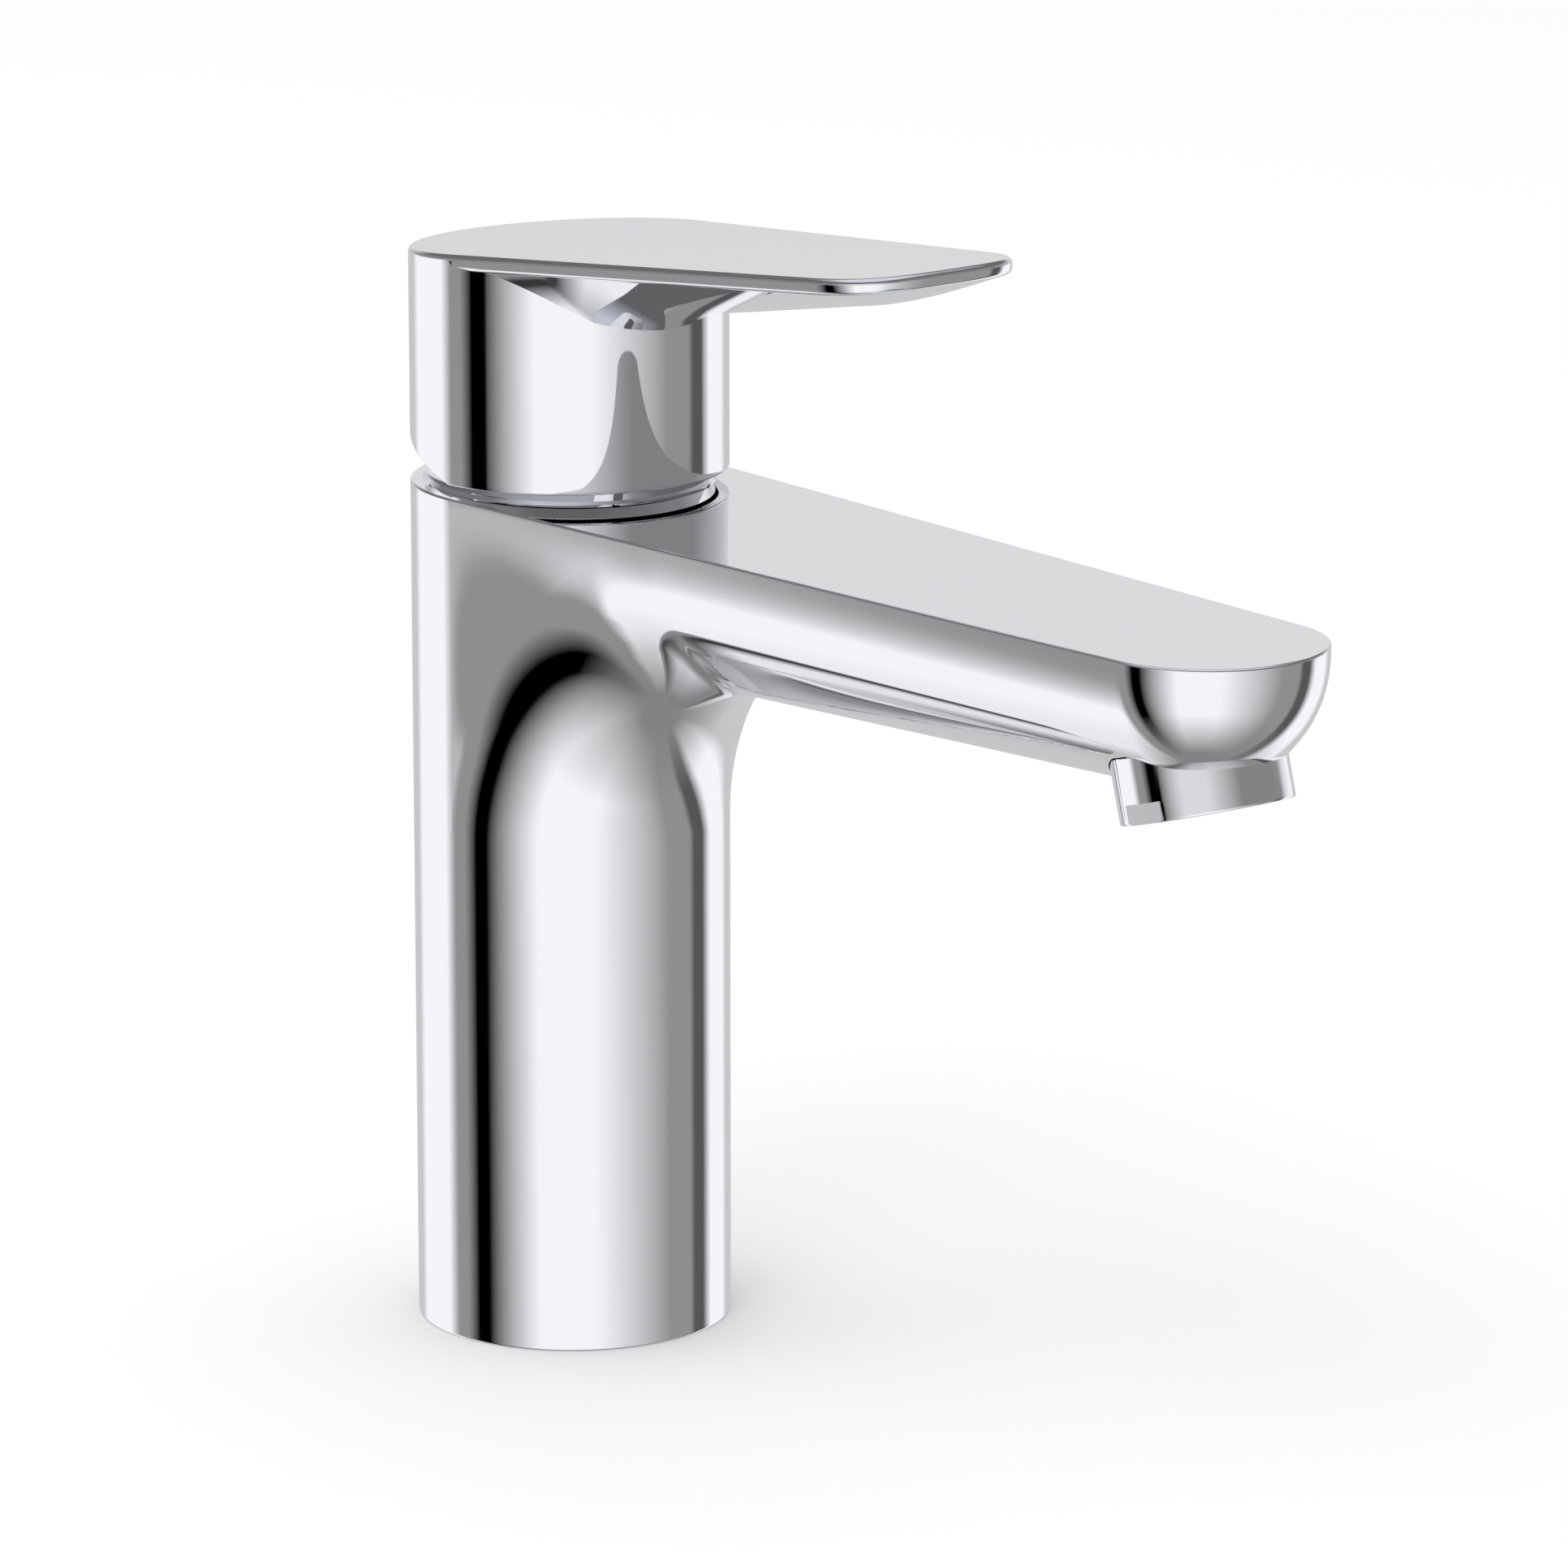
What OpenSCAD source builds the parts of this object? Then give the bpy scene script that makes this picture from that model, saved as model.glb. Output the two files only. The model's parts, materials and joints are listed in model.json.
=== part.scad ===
// Single-lever basin mixer: a round pillar with a tapering flat-topped spout,
// a 35 mm ceramic cartridge and a lever whose skirt covers the cartridge.
// Origin: centre of the pillar's foot. +X runs along the spout, +Z is up.

/* [Body] */
// Outer radius of the round pillar and of the lever's skirt
body_r = 23; // [22.5:0.1:25]
// Height of the flat top face above the foot, on the pillar's axis
body_h = 124.6; // [122:0.2:135]
// Slope of the flat top face, falling towards the spout's nose, in degrees
top_fall = 0.61; // [0:0.1:2]
// Radius of the open well in the foot, where the hoses are screwed in
well_r = 19.5; // [17:0.1:20]
// Depth of the open well in the foot
well_h = 58; // [40:1:66]
// Depth of the sealing ring's groove in the foot
foot_groove_h = 1.5; // [1:0.1:3]
// Width of the sealing ring's groove in the foot
foot_groove_w = 1.6; // [1:0.1:2]

/* [Spout] */
// Distance from the pillar's axis to the middle of the outlet
reach = 135; // [120:1:160]
// Distance from the outlet's middle to the nose tip, seen from above
nose_len = 15.4; // [14:0.1:20]
// Taper of each side of the spout, seen from above, in degrees
spout_taper = 2.61; // [1:0.05:3]
// Depth of the spout's outer shell
shell_t = 14.8; // [13:0.1:17]
// How far the shell's lower edge curls in under the spout
shell_curl = 5.5; // [4:0.1:7]
// Height of the keel's lowest line above the foot, carried back to the axis
keel_z = 98.3; // [96:0.1:102]
// Rise of the keel towards the nose, in degrees
keel_rise = 1.9; // [0:0.1:3]
// Half width of the keel that carries the water
keel_w = 6.5; // [5.5:0.1:8]
// Height of the roof of the two hollows beside the keel
hollow_z = 118; // [112:0.5:119]
// Height above the foot at which the pillar's front starts to bend over
bend_z = 75.2; // [70:0.2:80]
// Length of the bend in front of the pillar
bend_len = 22.3; // [20:0.1:26]
// Radius of the water channel
channel_r = 3.6; // [2.5:0.1:4]

/* [Inlets] */
// Radius of each hose inlet's thread wall
inlet_r = 4.5; // [4:0.1:5]
// Depth of each hose inlet's thread
inlet_depth = 16; // [10:1:20]
// Distance of each inlet from the middle plane
inlet_y = 7.2; // [6.8:0.1:8]
// Distance of the inlets behind the pillar's axis
inlet_back = 4; // [3:0.1:5]
// Radius of the drilling from each inlet to the cartridge
drill_r = 2.5; // [2:0.1:3]
// Radius of the fixing stud's thread wall
stud_r = 3.35; // [2.5:0.05:4]
// Depth of the fixing stud's thread
stud_depth = 14; // [8:1:18]
// Distance of the fixing stud in front of the pillar's axis
stud_x = 10; // [8.5:0.5:13]

/* [Cartridge] */
// Height of the cartridge's seat above the foot
seat_z = 102; // [101:0.5:104]
// Radius of the cartridge
cart_r = 17.5; // [17:0.1:18]
// Thickness of the cartridge's base plate
base_t = 5; // [4:0.5:6]
// Thickness of the fixed ceramic disc
fixed_t = 4; // [3:0.5:5]
// Thickness of the moving ceramic disc
moving_t = 3.5; // [3:0.5:5]
// Thickness of the disc carrier
carrier_t = 4.5; // [4:0.1:6]
// Radius of the moving disc
moving_r = 12.8; // [12:0.1:13]
// Inner radius of the cartridge's lower chamber
chamber_r = 16.3; // [16:0.1:16.5]
// Inner radius of the cartridge's neck
neck_bore_r = 12.5; // [11.5:0.1:12.7]
// Outer radius of the cartridge's neck
neck_r = 13.6; // [13.4:0.1:14]
// Height of the lever's pivot above the foot
pivot_z = 134; // [132:0.5:136]
// Radius of the pivot pin
pin_r = 1.5; // [1:0.1:2]
// Radius of the ball at the spindle's lower end
ball_r = 2.2; // [1.8:0.1:2.4]
// Travel of the lever from closed to fully open, in degrees
lift_max = 20; // [15:1:20]

/* [Nut and trim ring] */
// Outer radius of the retaining nut's thread
nut_r = 19.4; // [19:0.1:20]
// Size of the retaining nut's hexagon across its flats
nut_flats = 30; // [29:0.5:31]
// Outer radius of the trim ring's foot
trim_r = 21; // [20.5:0.1:21.2]
// Height of the trim ring's foot
trim_foot_h = 2; // [1.5:0.1:2.3]
// Radius of the trim ring's wall
trim_wall_r = 18.8; // [18.4:0.1:19.2]
// Thickness of the trim ring's wall
trim_t = 1.2; // [0.8:0.1:1.4]

/* [Lever] */
// Height of the skirt's lower edge above the foot
skirt_z = 126.5; // [126:0.1:128]
// Inner radius of the skirt
skirt_bore_r = 21.4; // [21.2:0.1:22]
// Height of the lever's flat top above the skirt's lower edge, on the axis
lever_h = 33.2; // [30:0.1:38]
// Slope of the lever's flat top, rising towards its tip, in degrees
lever_rise = 4.47; // [2:0.1:7]
// Taper of each side of the lever, seen from above, in degrees
lever_taper = 5.23; // [4:0.1:7]
// Distance from the axis to the lever's tip
lever_len = 83.2; // [70:0.5:95]
// Length of the lever's rounded end
lever_end = 12.7; // [8:0.1:16]
// Thickness of the lever's rim
rim_t = 2.35; // [2:0.05:3]
// Rounding of the lever's rim
rim_round = 0.8; // [0.5:0.1:1]
// Depth of the lever's belly, carried back to the axis
belly_root = 12.4; // [10:0.1:14]
// Slope of the belly against the lever's top, in degrees
belly_fall = 5.54; // [4:0.1:6]
// Slope of the relief cut at the back of the skirt, in degrees
relief_angle = 18.3; // [17:0.1:22]
// Thickness of the lever above the hollow of its skirt, on the axis
cap_t = 7.2; // [6.5:0.1:8]
// Radius of the set screw
screw_r = 2.5; // [2:0.1:3]

/* [Outlet] */
// Outer diameter of the outlet's ring
outlet_d = 23.7; // [23:0.1:24.5]
// Height of the outlet's middle above the foot
outlet_z = 100.2; // [99:0.1:102]
// Tilt of the outlet away from the pillar, in degrees
outlet_tilt = 15.6; // [12:0.1:18]
// Length of the outlet's ring
ring_h = 9.1; // [8:0.1:10]
// Height of the spanner flats on the outlet's ring
flat_h = 2.8; // [2:0.1:4]
// Depth of the spanner flats on the outlet's ring
flat_depth = 0.6; // [0.3:0.05:0.8]
// Wall of the outlet's ring round the spout's threaded nipple
ring_wall = 1; // [0.8:0.05:1.1]
// Radius of the holes in the jet former
jet_r = 0.7; // [0.5:0.05:0.8]

/* [Hidden] */
$fn = 96;
slack = 0.15;            // clearance between parts that are pushed together
run = 0.08;              // clearance of a running fit
far = 200;               // longer than any part, for cutting tools
eps = 0.05;              // overlap that keeps joined solids in one piece

// --- pillar and spout ---
body_over = 3;           // the blanks stand this far over the top face
curl_power = 2.54;       // how late the shell's side starts to curl in
nose_x = reach + 0.4;    // where the rounded nose begins
nose_tip = reach + nose_len;
ring_n = 14;             // points on each side of a ring of the spout's skin
edge_t = 0.5;            // depth of the bend's highest line below the top face
side_x = body_r * sin(spout_taper); // where the spout's straight sides start
bend_x = body_r + bend_len;
bend_lift = 0.5;         // reach of the bend's upright and level control lines, as shares
bend_push = 0.42;
hollow_x = bend_x - 8.8; // centre of the hollows' rounded ends
hollow_tip_x = reach - 7;
flare_x = reach - outlet_d / 2 - 15; // where the keel starts to widen into the outlet
groove_r = (well_r + body_r) / 2 + foot_groove_w / 2;

// --- cartridge stack, from the seat up ---
fixed_z = seat_z + base_t;
moving_z = fixed_z + fixed_t;
carrier_z = moving_z + moving_t;
socket_floor = 0.65;
socket_x = ball_r + 0.3; // half length of the carrier's socket
flange_z = carrier_z + carrier_t + slack;
flange_t = 1.2;
roof_z = flange_z + flange_t + slack;
shoulder_z = roof_z + 2.4;
neck_top = pivot_z + 3.5;
ball_z = carrier_z + socket_floor + ball_r + slack;
arm = pivot_z - ball_z;
spindle_z = flange_z + 0.7; // low end of the spindle's thick part
travel = arm * lift_max * PI / 180;
outlet_x = 8;            // mixed-water port of the cartridge
port_r = 2.5;
ball_over = 0.2;         // by how much a drilling's ball nose is wider than the drilling
pocket_t = 1.8;          // depth of the moving disc's mixing pocket
seal_h = 1.2;
seal_w = 1.1;
key_y = 8;               // keys between the moving disc and its carrier
key_r = 1.5;
key_h = 1;
fixed_r = chamber_r - slack;
guide_r = neck_bore_r - run;
flange_r = chamber_r - 0.8;
guide_groove_z = roof_z + 3.2;
guide_groove_h = 2.2;
guide_groove_t = 1.6;
spindle_r = 3.2;
ball_neck_r = ball_r - 0.65;
slot_back = 2.2;         // room for the spindle's tilt behind it, and in front of it
slot_front = 6.4;
square = 7;              // side of the spindle's square end
square_z = neck_top + 3.5;

// --- nut, trim ring ---
trim_z = 124;
trim_top = 130;
nut_z = 114;
nut_top = 128.5;
thread_r = nut_r + slack;
cavity_r = cart_r + 0.3;

// --- lever ---
lever_z = skirt_z + lever_h;
ceiling_z = lever_z - cap_t;
spindle_top = ceiling_z - 0.9;
screw_z = ceiling_z - 4.3;
boss_r = 7.5;
boss_z = ceiling_z - 10;
bush = 9;                // side of the square bush round the spindle
rib_z = screw_z - screw_r - 1.2;
rib_w = 9;
plug_r = 3.3;
plug_in = 19.5;          // inner end of the screw plug, as a distance from the axis
relief_x = 0.8;
skirt_inset = 0.06;
mark_r = 1.1;
mark_t = 0.4;
hot_at = [-1, -11.7];
cold_at = [-1, 11.7];

// --- outlet ---
outlet_r = outlet_d / 2;
recess_h = ring_h + slack;
nipple_r = outlet_r - ring_wall - slack;
nipple_end = 3.6;
nipple_bore_r = nipple_r - 2.2;
nipple_bore_h = 11.5;
lip_r = nipple_r - 1.5;
lip_t = 1.2;
jet_in = 0.3;            // how far the jet former sits inside the ring
jet_pitch = 1.6;
jet_rings = floor((lip_r - jet_r) / jet_pitch);
cage_z = lip_t + 0.5;
cage_h = 8.4;
cage_wall = 1.3;
insert_flange_t = 1;
insert_r = nipple_bore_r - slack;
insert_rim_r = nipple_r - 0.1;
regulator_z = cage_z + 1.7;
regulator_h = 5.2;

// ---------------------------------------------------------------- functions

// Half width of the spout at its top face.
function flank(x) = body_r / cos(spout_taper) - x * tan(spout_taper);

// How far the shell has curled in at a depth t below the top face.
function curl(t) = t <= 0 ? 0 : shell_curl * pow(t / shell_t, curl_power);

// Height of the flat top face at x.
function top_z(x) = body_h - tan(top_fall) * x;

// Height of the keel's lowest line at x.
function keel_low(x) = keel_z + tan(keel_rise) * x;

// Share of the half width that is left at x in the rounded nose, at a depth t.
function nose_share(x, t) = x <= nose_x ? 1
    : sqrt(max(0, 1 - pow((x - nose_x) / (nose_tip - nose_x - curl(t)), 2)));

// Half width of the spout at x and depth t, down to the shell's lower edge.
function shell_half(x, t) = (flank(x) - curl(t)) * nose_share(x, t);

// Depth of the spout's lowest line at x: the keel, then up round the outlet to the nose.
function low_depth(x) = let (
    keel_depth = top_z(min(x, reach - 5)) - keel_low(min(x, reach - 5)),
    bowl_x = nose_tip - shell_curl)
    x <= reach - 5 ? keel_depth
    : x <= bowl_x ? keel_depth + (shell_t - keel_depth) * (x - reach + 5) / (bowl_x - reach + 5)
    : shell_t * pow((nose_tip - x) / shell_curl, 1 / curl_power);

// Half width of the whole spout at x and depth t, hollows filled: the shell's curled side, then
// one curve that leaves the shell's edge in the same direction and closes at the keel's lowest line.
function spout_half(x, t) =
    let (low_t = low_depth(x), edge = flank(x) - shell_curl, edge_h = low_t - shell_t,
         power = max(1, edge * shell_t / max(eps, edge_h * shell_curl * curl_power)))
    t <= shell_t ? shell_half(x, t)
    : shell_half(x, shell_t) * pow(max(0, (low_t - t) / edge_h), 1 / power);

// Share of the way up a ring's side at its i-th point: 1 at the bend's highest line, 0 at the lowest.
function ring_q(i) = 1 - pow((i - 1) / (ring_n - 2), 1.5);

// Depth of the i-th of ring_n points on one side of a ring, from over the top (0) to the lowest line.
function ring_depth(x, i) = i == 0 ? -body_over : low_depth(x) + (edge_t - low_depth(x)) * ring_q(i);

// The spout's upright ring at x.
function spout_ring(x) = both_sides([for (i = [0:ring_n - 1]) let (t = ring_depth(x, i))
    [x, max(0.02, spout_half(x, t)), top_z(x) - t]]);

// Where the bend's i-th line starts on the pillar, seen from above.
function bend_start(i) = let (front = body_r - (body_r - side_x) * ring_q(i))
    [front, sqrt(max(0, pow(body_r, 2) - pow(front, 2)))];

// Weights of a cubic curve's first two control points, and of its last two.
function near_share(w) = pow(1 - w, 2) * (1 + 2 * w);
function far_share(w) = pow(w, 2) * (3 - 2 * w);

// Point of the bend's i-th line at w: straight up from the pillar, then level into the spout.
function bend_line(i, w) =
    let (from = bend_start(i), t = ring_depth(bend_x, i), end_z = top_z(bend_x) - t,
         x = near_share(w) * from[0] + far_share(w) * bend_x
             - 3 * pow(w, 2) * (1 - w) * bend_push * (bend_x - from[0]),
         z = bend_z + (end_z - bend_z) * (far_share(w) + 3 * w * pow(1 - w, 2) * bend_lift),
         share = near_share(w) * from[1] / flank(from[0])
             + far_share(w) * spout_half(bend_x, t) / flank(bend_x))
    [x, flank(x) * share, z];

// How far the bend is sunk into the pillar where it starts, so that it comes out of it cleanly.
function bend_sink(w) = 1.2 * pow(max(0, 1 - w / 0.35), 2);

// The bend's ring at w, from its start on the pillar (0) to the spout (1).
function bend_ring(w) = both_sides([for (i = [0:ring_n - 1])
    let (p = bend_line(max(1, i), w), keep = 1 - bend_sink(w) / body_r)
    [p[0] * keep, max(0.02, p[1] * keep - 0.5 * max(0, 1 - p[0] / 6)),
     i == 0 ? top_z(p[0]) + body_over : p[2]]]);

// A closed ring from one side's points: the side itself on -Y, then back on +Y.
function both_sides(side) = concat(
    [for (p = side) [p[0], -p[1], p[2]]],
    [for (i = [len(side) - 1:-1:0]) side[i]]);

// Half width of the lever at x, at its widest level.
function lever_half(x) = body_r / cos(lever_taper) - x * tan(lever_taper);

// Height of the lever's flat top at x.
function lever_top(x) = lever_z + tan(lever_rise) * x;

// One side of the lever's outline, drawn in by d: round back, straight side, rounded end.
// The back lies just inside the skirt's own cylinder, so that the two join cleanly.
function lever_side(d) = let (end_x = lever_len - lever_end, back_r = body_r - d - skirt_inset) concat(
    [for (a = [180:-10:90]) [back_r * cos(a), back_r * sin(a)]],
    [for (i = [1:5]) let (x = body_r * sin(lever_taper) * (1 - i / 5) + end_x * i / 5)
        [x, lever_half(x) - d]],
    [for (a = [12:11:78]) let (x = end_x + (lever_end - d) * pow(sin(a), 0.6))
        [x, (lever_half(x) - d) * pow(cos(a), 0.6)]],
    [[lever_len - d, 0]]);

// Depth of the belly's lowest line below the lever's top.
function belly(x) = let (u = max(x, body_r - 3))
    belly_root - tan(belly_fall) * u + 0.023 * pow(max(0, body_r + 9 - u), 2);

// The lever's ring drawn in by d, at depth t below its top.
function lever_ring(d, t) = both_sides_shut(
    [for (p = lever_side(d)) [p[0], p[1], lever_top(p[0]) - t]]);

// The belly's ring at share s of the half width, from the spine (0) to the rim (1).
function belly_ring(s) = both_sides_shut(
    [for (p = lever_side(rim_round))
        let (bow_x = lever_len - 2 * lever_end,
             x = p[0] > bow_x ? bow_x + (p[0] - bow_x) * (0.68 + 0.32 * s) : p[0])
        [x, p[1] * s, lever_top(x) - rim_t - (belly(x) - rim_t) * (1 - pow(s, 1.9))]]);
function both_sides_shut(side) = concat(
    [for (p = side) [p[0], -p[1], p[2]]],
    [for (i = [len(side) - 2:-1:1]) side[i]]);

// ------------------------------------------------------------ shared shapes

// A solid carried through rings of equal length, each counter-clockwise seen from the next.
// With strips, the first end is closed by strips between its two mirrored sides.
module loft(rings, strips = false) {
    n = len(rings[0]);
    m = len(rings);
    polyhedron(
        points = [for (r = rings) each r],
        faces = concat(
            strips ? [for (i = [0:n / 2 - 1]) let (a = (n - i) % n, b = n - i - 1)
                each (i == 0 ? [[0, 1, b]] : i == n / 2 - 1 ? [[i, i + 1, a]] : [[i, i + 1, b], [i, b, a]])]
                : [[for (i = [0:n - 1]) i]],
            [for (k = [0:m - 2]) for (i = [0:n - 1]) let (j = (i + 1) % n)
                each [[k * n + i, k * n + n + i, k * n + n + j], [k * n + i, k * n + n + j, k * n + j]]],
            [[for (i = [n - 1:-1:0]) (m - 1) * n + i]]),
        convexity = 8);
}

// A ring with a square section.
module ring(outer, inner, h) {
    difference() {
        cylinder(r = outer, h = h);
        translate([0, 0, -1])
            cylinder(r = inner, h = h + 2);
    }
}

// Places a part on the outlet's axis: z = 0 is the outlet's plane, +z goes up into the spout.
module at_outlet(w = 0) {
    translate([reach, 0, outlet_z])
        rotate([0, -outlet_tilt, 0])
            translate([0, 0, w])
                children();
}

// Places a part at each port of the cartridge: two inlets and the mixed-water outlet.
module at_ports(z) {
    for (p = [[-inlet_back, inlet_y], [-inlet_back, -inlet_y], [outlet_x, 0]])
        translate([p[0], p[1], z])
            children();
}

// A round drilling from one point to another, with a ball-nosed start.
module channel(from, to) {
    v = to - from;
    translate(from)
        rotate([0, acos(v[2] / norm(v)), atan2(v[1], v[0])])
            cylinder(r = channel_r, h = norm(v));
    translate(from)
        sphere(r = channel_r + ball_over, $fn = 48);
}

// ------------------------------------------------------------- body casting

// Everything above the sloping top face.
module above_top() {
    translate([0, 0, body_h])
        rotate([0, top_fall, 0])
            translate([-far, -far, 0])
                cube([2 * far, 2 * far, far]);
}

// The bend and the whole spout in one skin, hollows still filled.
module spout_blank() {
    loft(concat(
        [for (w = [0:0.1:1]) bend_ring(w)],
        [for (k = [1:3]) spout_ring(bend_x + (flare_x - bend_x) * k / 3)],
        [for (x = [reach - 13, reach - 5, nose_x]) spout_ring(x)],
        [for (a = [15:15:75]) spout_ring(nose_x + (nose_tip - nose_x) * sin(a))],
        [spout_ring(nose_x + (nose_tip - nose_x) * sin(85))]), strips = true);
}

// Inner edge of a hollow: beside the keel, widening to the shell's edge at the outlet.
function hollow_inner() = let (flare = hollow_tip_x - flare_x) [
    [hollow_x, keel_w], [flare_x, keel_w], [flare_x + 0.4 * flare, keel_w + 1.1],
    [flare_x + 0.7 * flare, keel_w + 3], [hollow_tip_x, flank(hollow_tip_x) - shell_curl]];

// The open space between the keel and the +Y edge of the shell.
module hollow() {
    outer_y = flank(hollow_x) - shell_curl;
    translate([0, 0, bend_z])
        linear_extrude(height = hollow_z - bend_z) {
            polygon(concat(hollow_inner(), [[hollow_x, outer_y]]));
            translate([hollow_x, (outer_y + keel_w) / 2])
                circle(r = (outer_y - keel_w) / 2);
        }
}

module waterway() {
    low = [outlet_x, 0, seat_z - 12.5];
    knee = [bend_x - 7, 0, keel_low(bend_x) + 8];
    end = [reach - 5, 0, keel_low(reach) + 6.5];
    translate(low)
        cylinder(r = channel_r, h = seat_z - low[2] + 1);
    channel(low, knee);
    channel(knee, end);
}

module body_casting() {
    color("gainsboro")
    difference() {
        union() {
            difference() {
                union() {
                    cylinder(r = body_r, h = body_h + body_over - 1);
                    spout_blank();
                }
                above_top();
                hollow();
                mirror([0, 1, 0])
                    hollow();
                // seat for the outlet's ring
                at_outlet(-far / 20)
                    cylinder(r = outlet_r + slack, h = recess_h + far / 20);
            }
            // threaded nipple that the outlet's ring screws on to
            at_outlet(nipple_end)
                cylinder(r = nipple_r, h = recess_h - nipple_end + 1);
        }
        waterway();
        at_outlet(nipple_end - 1)
            cylinder(r = nipple_bore_r, h = nipple_bore_h);
        // cartridge chamber, thread of the nut, seat of the trim ring
        translate([0, 0, seat_z])
            cylinder(r = cavity_r, h = far);
        translate([0, 0, nut_z - 1])
            cylinder(r = thread_r, h = far);
        translate([0, 0, trim_z])
            cylinder(r = trim_r + slack, h = far);
        // well, inlets, drillings and stud hole
        translate([0, 0, -1])
            cylinder(r = well_r, h = well_h + 1);
        for (s = [-1, 1])
            translate([-inlet_back, s * inlet_y, well_h - 1]) {
                cylinder(r = inlet_r, h = inlet_depth + 1);
                cylinder(r = drill_r, h = seat_z - well_h + 2);
            }
        translate([stud_x, 0, well_h - 1])
            cylinder(r = stud_r, h = stud_depth + 1);
        // groove of the foot's sealing ring
        translate([0, 0, -1])
            ring(groove_r, groove_r - foot_groove_w, foot_groove_h + 1);
    }
}

module foot_seal() {
    color("dimgray")
        ring(groove_r, groove_r - foot_groove_w, foot_groove_h);
}

// ---------------------------------------------------------------- cartridge

module cartridge_base() {
    color("whitesmoke")
        difference() {
            translate([0, 0, seat_z])
                cylinder(r = cart_r, h = base_t);
            at_ports(seat_z - 1)
                cylinder(r = port_r, h = base_t + 2);
            translate([outlet_x, 0, seat_z - 1])
                cylinder(r = channel_r, h = base_t + 2);
            for (z = [seat_z - 1, fixed_z - seal_h])
                at_ports(z)
                    cylinder(r = channel_r + seal_w, h = seal_h + 1);
        }
}

module port_seals() {
    color("black")
        at_ports(seat_z)
            ring(channel_r + seal_w, channel_r, seal_h);
}

module disc_seals() {
    color("black")
        at_ports(fixed_z - seal_h)
            ring(channel_r + seal_w, channel_r, seal_h);
}

module fixed_disc() {
    color("ivory")
        difference() {
            translate([0, 0, fixed_z])
                cylinder(r = fixed_r, h = fixed_t);
            at_ports(fixed_z - 1)
                cylinder(r = port_r, h = fixed_t + 2);
        }
}

// Parts of the sliding disc are drawn at the closed end of their travel.
module moving_disc() {
    cross_x = -inlet_back - travel / 2;
    color("ivory")
        difference() {
            translate([-travel / 2, 0, moving_z])
                cylinder(r = moving_r, h = moving_t);
            // mixing pocket in the lower face, shaped like a T
            translate([-travel / 2, 0, moving_z - 1])
                intersection() {
                    cylinder(r = moving_r - 1.4, h = pocket_t + 1);
                    translate([cross_x, 0, 0])
                        union() {
                            translate([-port_r, -inlet_y - port_r, 0])
                                cube([2 * port_r, 2 * (inlet_y + port_r), pocket_t + 1]);
                            translate([0, -port_r, 0])
                                cube([outlet_x + inlet_back, 2 * port_r, pocket_t + 1]);
                        }
                }
            // keys for the carrier
            for (s = [-1, 1])
                translate([-travel / 2, s * key_y, carrier_z - key_h - slack])
                    cylinder(r = key_r + slack, h = key_h + 1);
        }
}

module disc_carrier() {
    color("lightsteelblue")
        translate([-travel / 2, 0, 0]) {
            difference() {
                translate([0, 0, carrier_z])
                    cylinder(r = moving_r, h = carrier_t);
                // socket for the spindle's ball
                translate([travel / 2 - socket_x, -ball_r - run, carrier_z + socket_floor])
                    cube([2 * socket_x, 2 * (ball_r + run), carrier_t]);
                // lightening pockets
                for (s = [-1, 1])
                    translate([0, s * 8.6, carrier_z + 1.5])
                        cylinder(r = 2.2, h = carrier_t);
            }
            for (s = [-1, 1])
                translate([0, s * key_y, carrier_z - key_h])
                    cylinder(r = key_r, h = key_h + eps);
        }
}

module cartridge_housing() {
    color("white")
        difference() {
            union() {
                translate([0, 0, fixed_z])
                    cylinder(r = cart_r, h = shoulder_z - fixed_z);
                translate([0, 0, shoulder_z - eps])
                    cylinder(r = neck_r, h = neck_top - shoulder_z + eps);
            }
            translate([0, 0, fixed_z - 1])
                cylinder(r = chamber_r, h = roof_z - fixed_z + 1);
            translate([0, 0, roof_z - 1])
                cylinder(r = neck_bore_r, h = far);
        }
}

module swivel_guide() {
    color("lightgray")
        difference() {
            union() {
                translate([0, 0, flange_z])
                    cylinder(r = flange_r, h = flange_t);
                translate([0, 0, flange_z])
                    cylinder(r = guide_r, h = neck_top - flange_z);
            }
            // slot that lets the spindle tilt
            translate([-spindle_r - slot_back, -spindle_r - 0.3, flange_z - 1])
                cube([2 * spindle_r + slot_back + slot_front, 2 * spindle_r + 0.6, far]);
            // cross hole of the pivot pin
            translate([0, 0, pivot_z])
                rotate([90, 0, 0])
                    cylinder(r = pin_r, h = far, center = true);
            // groove of the friction ring
            translate([0, 0, guide_groove_z])
                ring(guide_r + 1, guide_r - guide_groove_t, guide_groove_h);
        }
}

module guide_ring() {
    color("black")
        translate([0, 0, guide_groove_z])
            ring(guide_r, guide_r - guide_groove_t, guide_groove_h);
}

module pivot_pin() {
    color("silver")
        translate([0, 0, pivot_z])
            rotate([90, 0, 0])
                cylinder(r = pin_r, h = 2 * (guide_r - 0.3), center = true);
}

module temperature_stop() {
    stop_h = 1.3;
    color("tomato")
        translate([0, 0, neck_top])
            difference() {
                ring(neck_r - 0.2, spindle_r + 6.3, stop_h);
                // fine teeth round the rim
                for (a = [0:15:345])
                    rotate(a)
                        translate([neck_r, 0, -1])
                            cylinder(r = 0.6, h = stop_h + 2, $fn = 24);
            }
}

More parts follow.
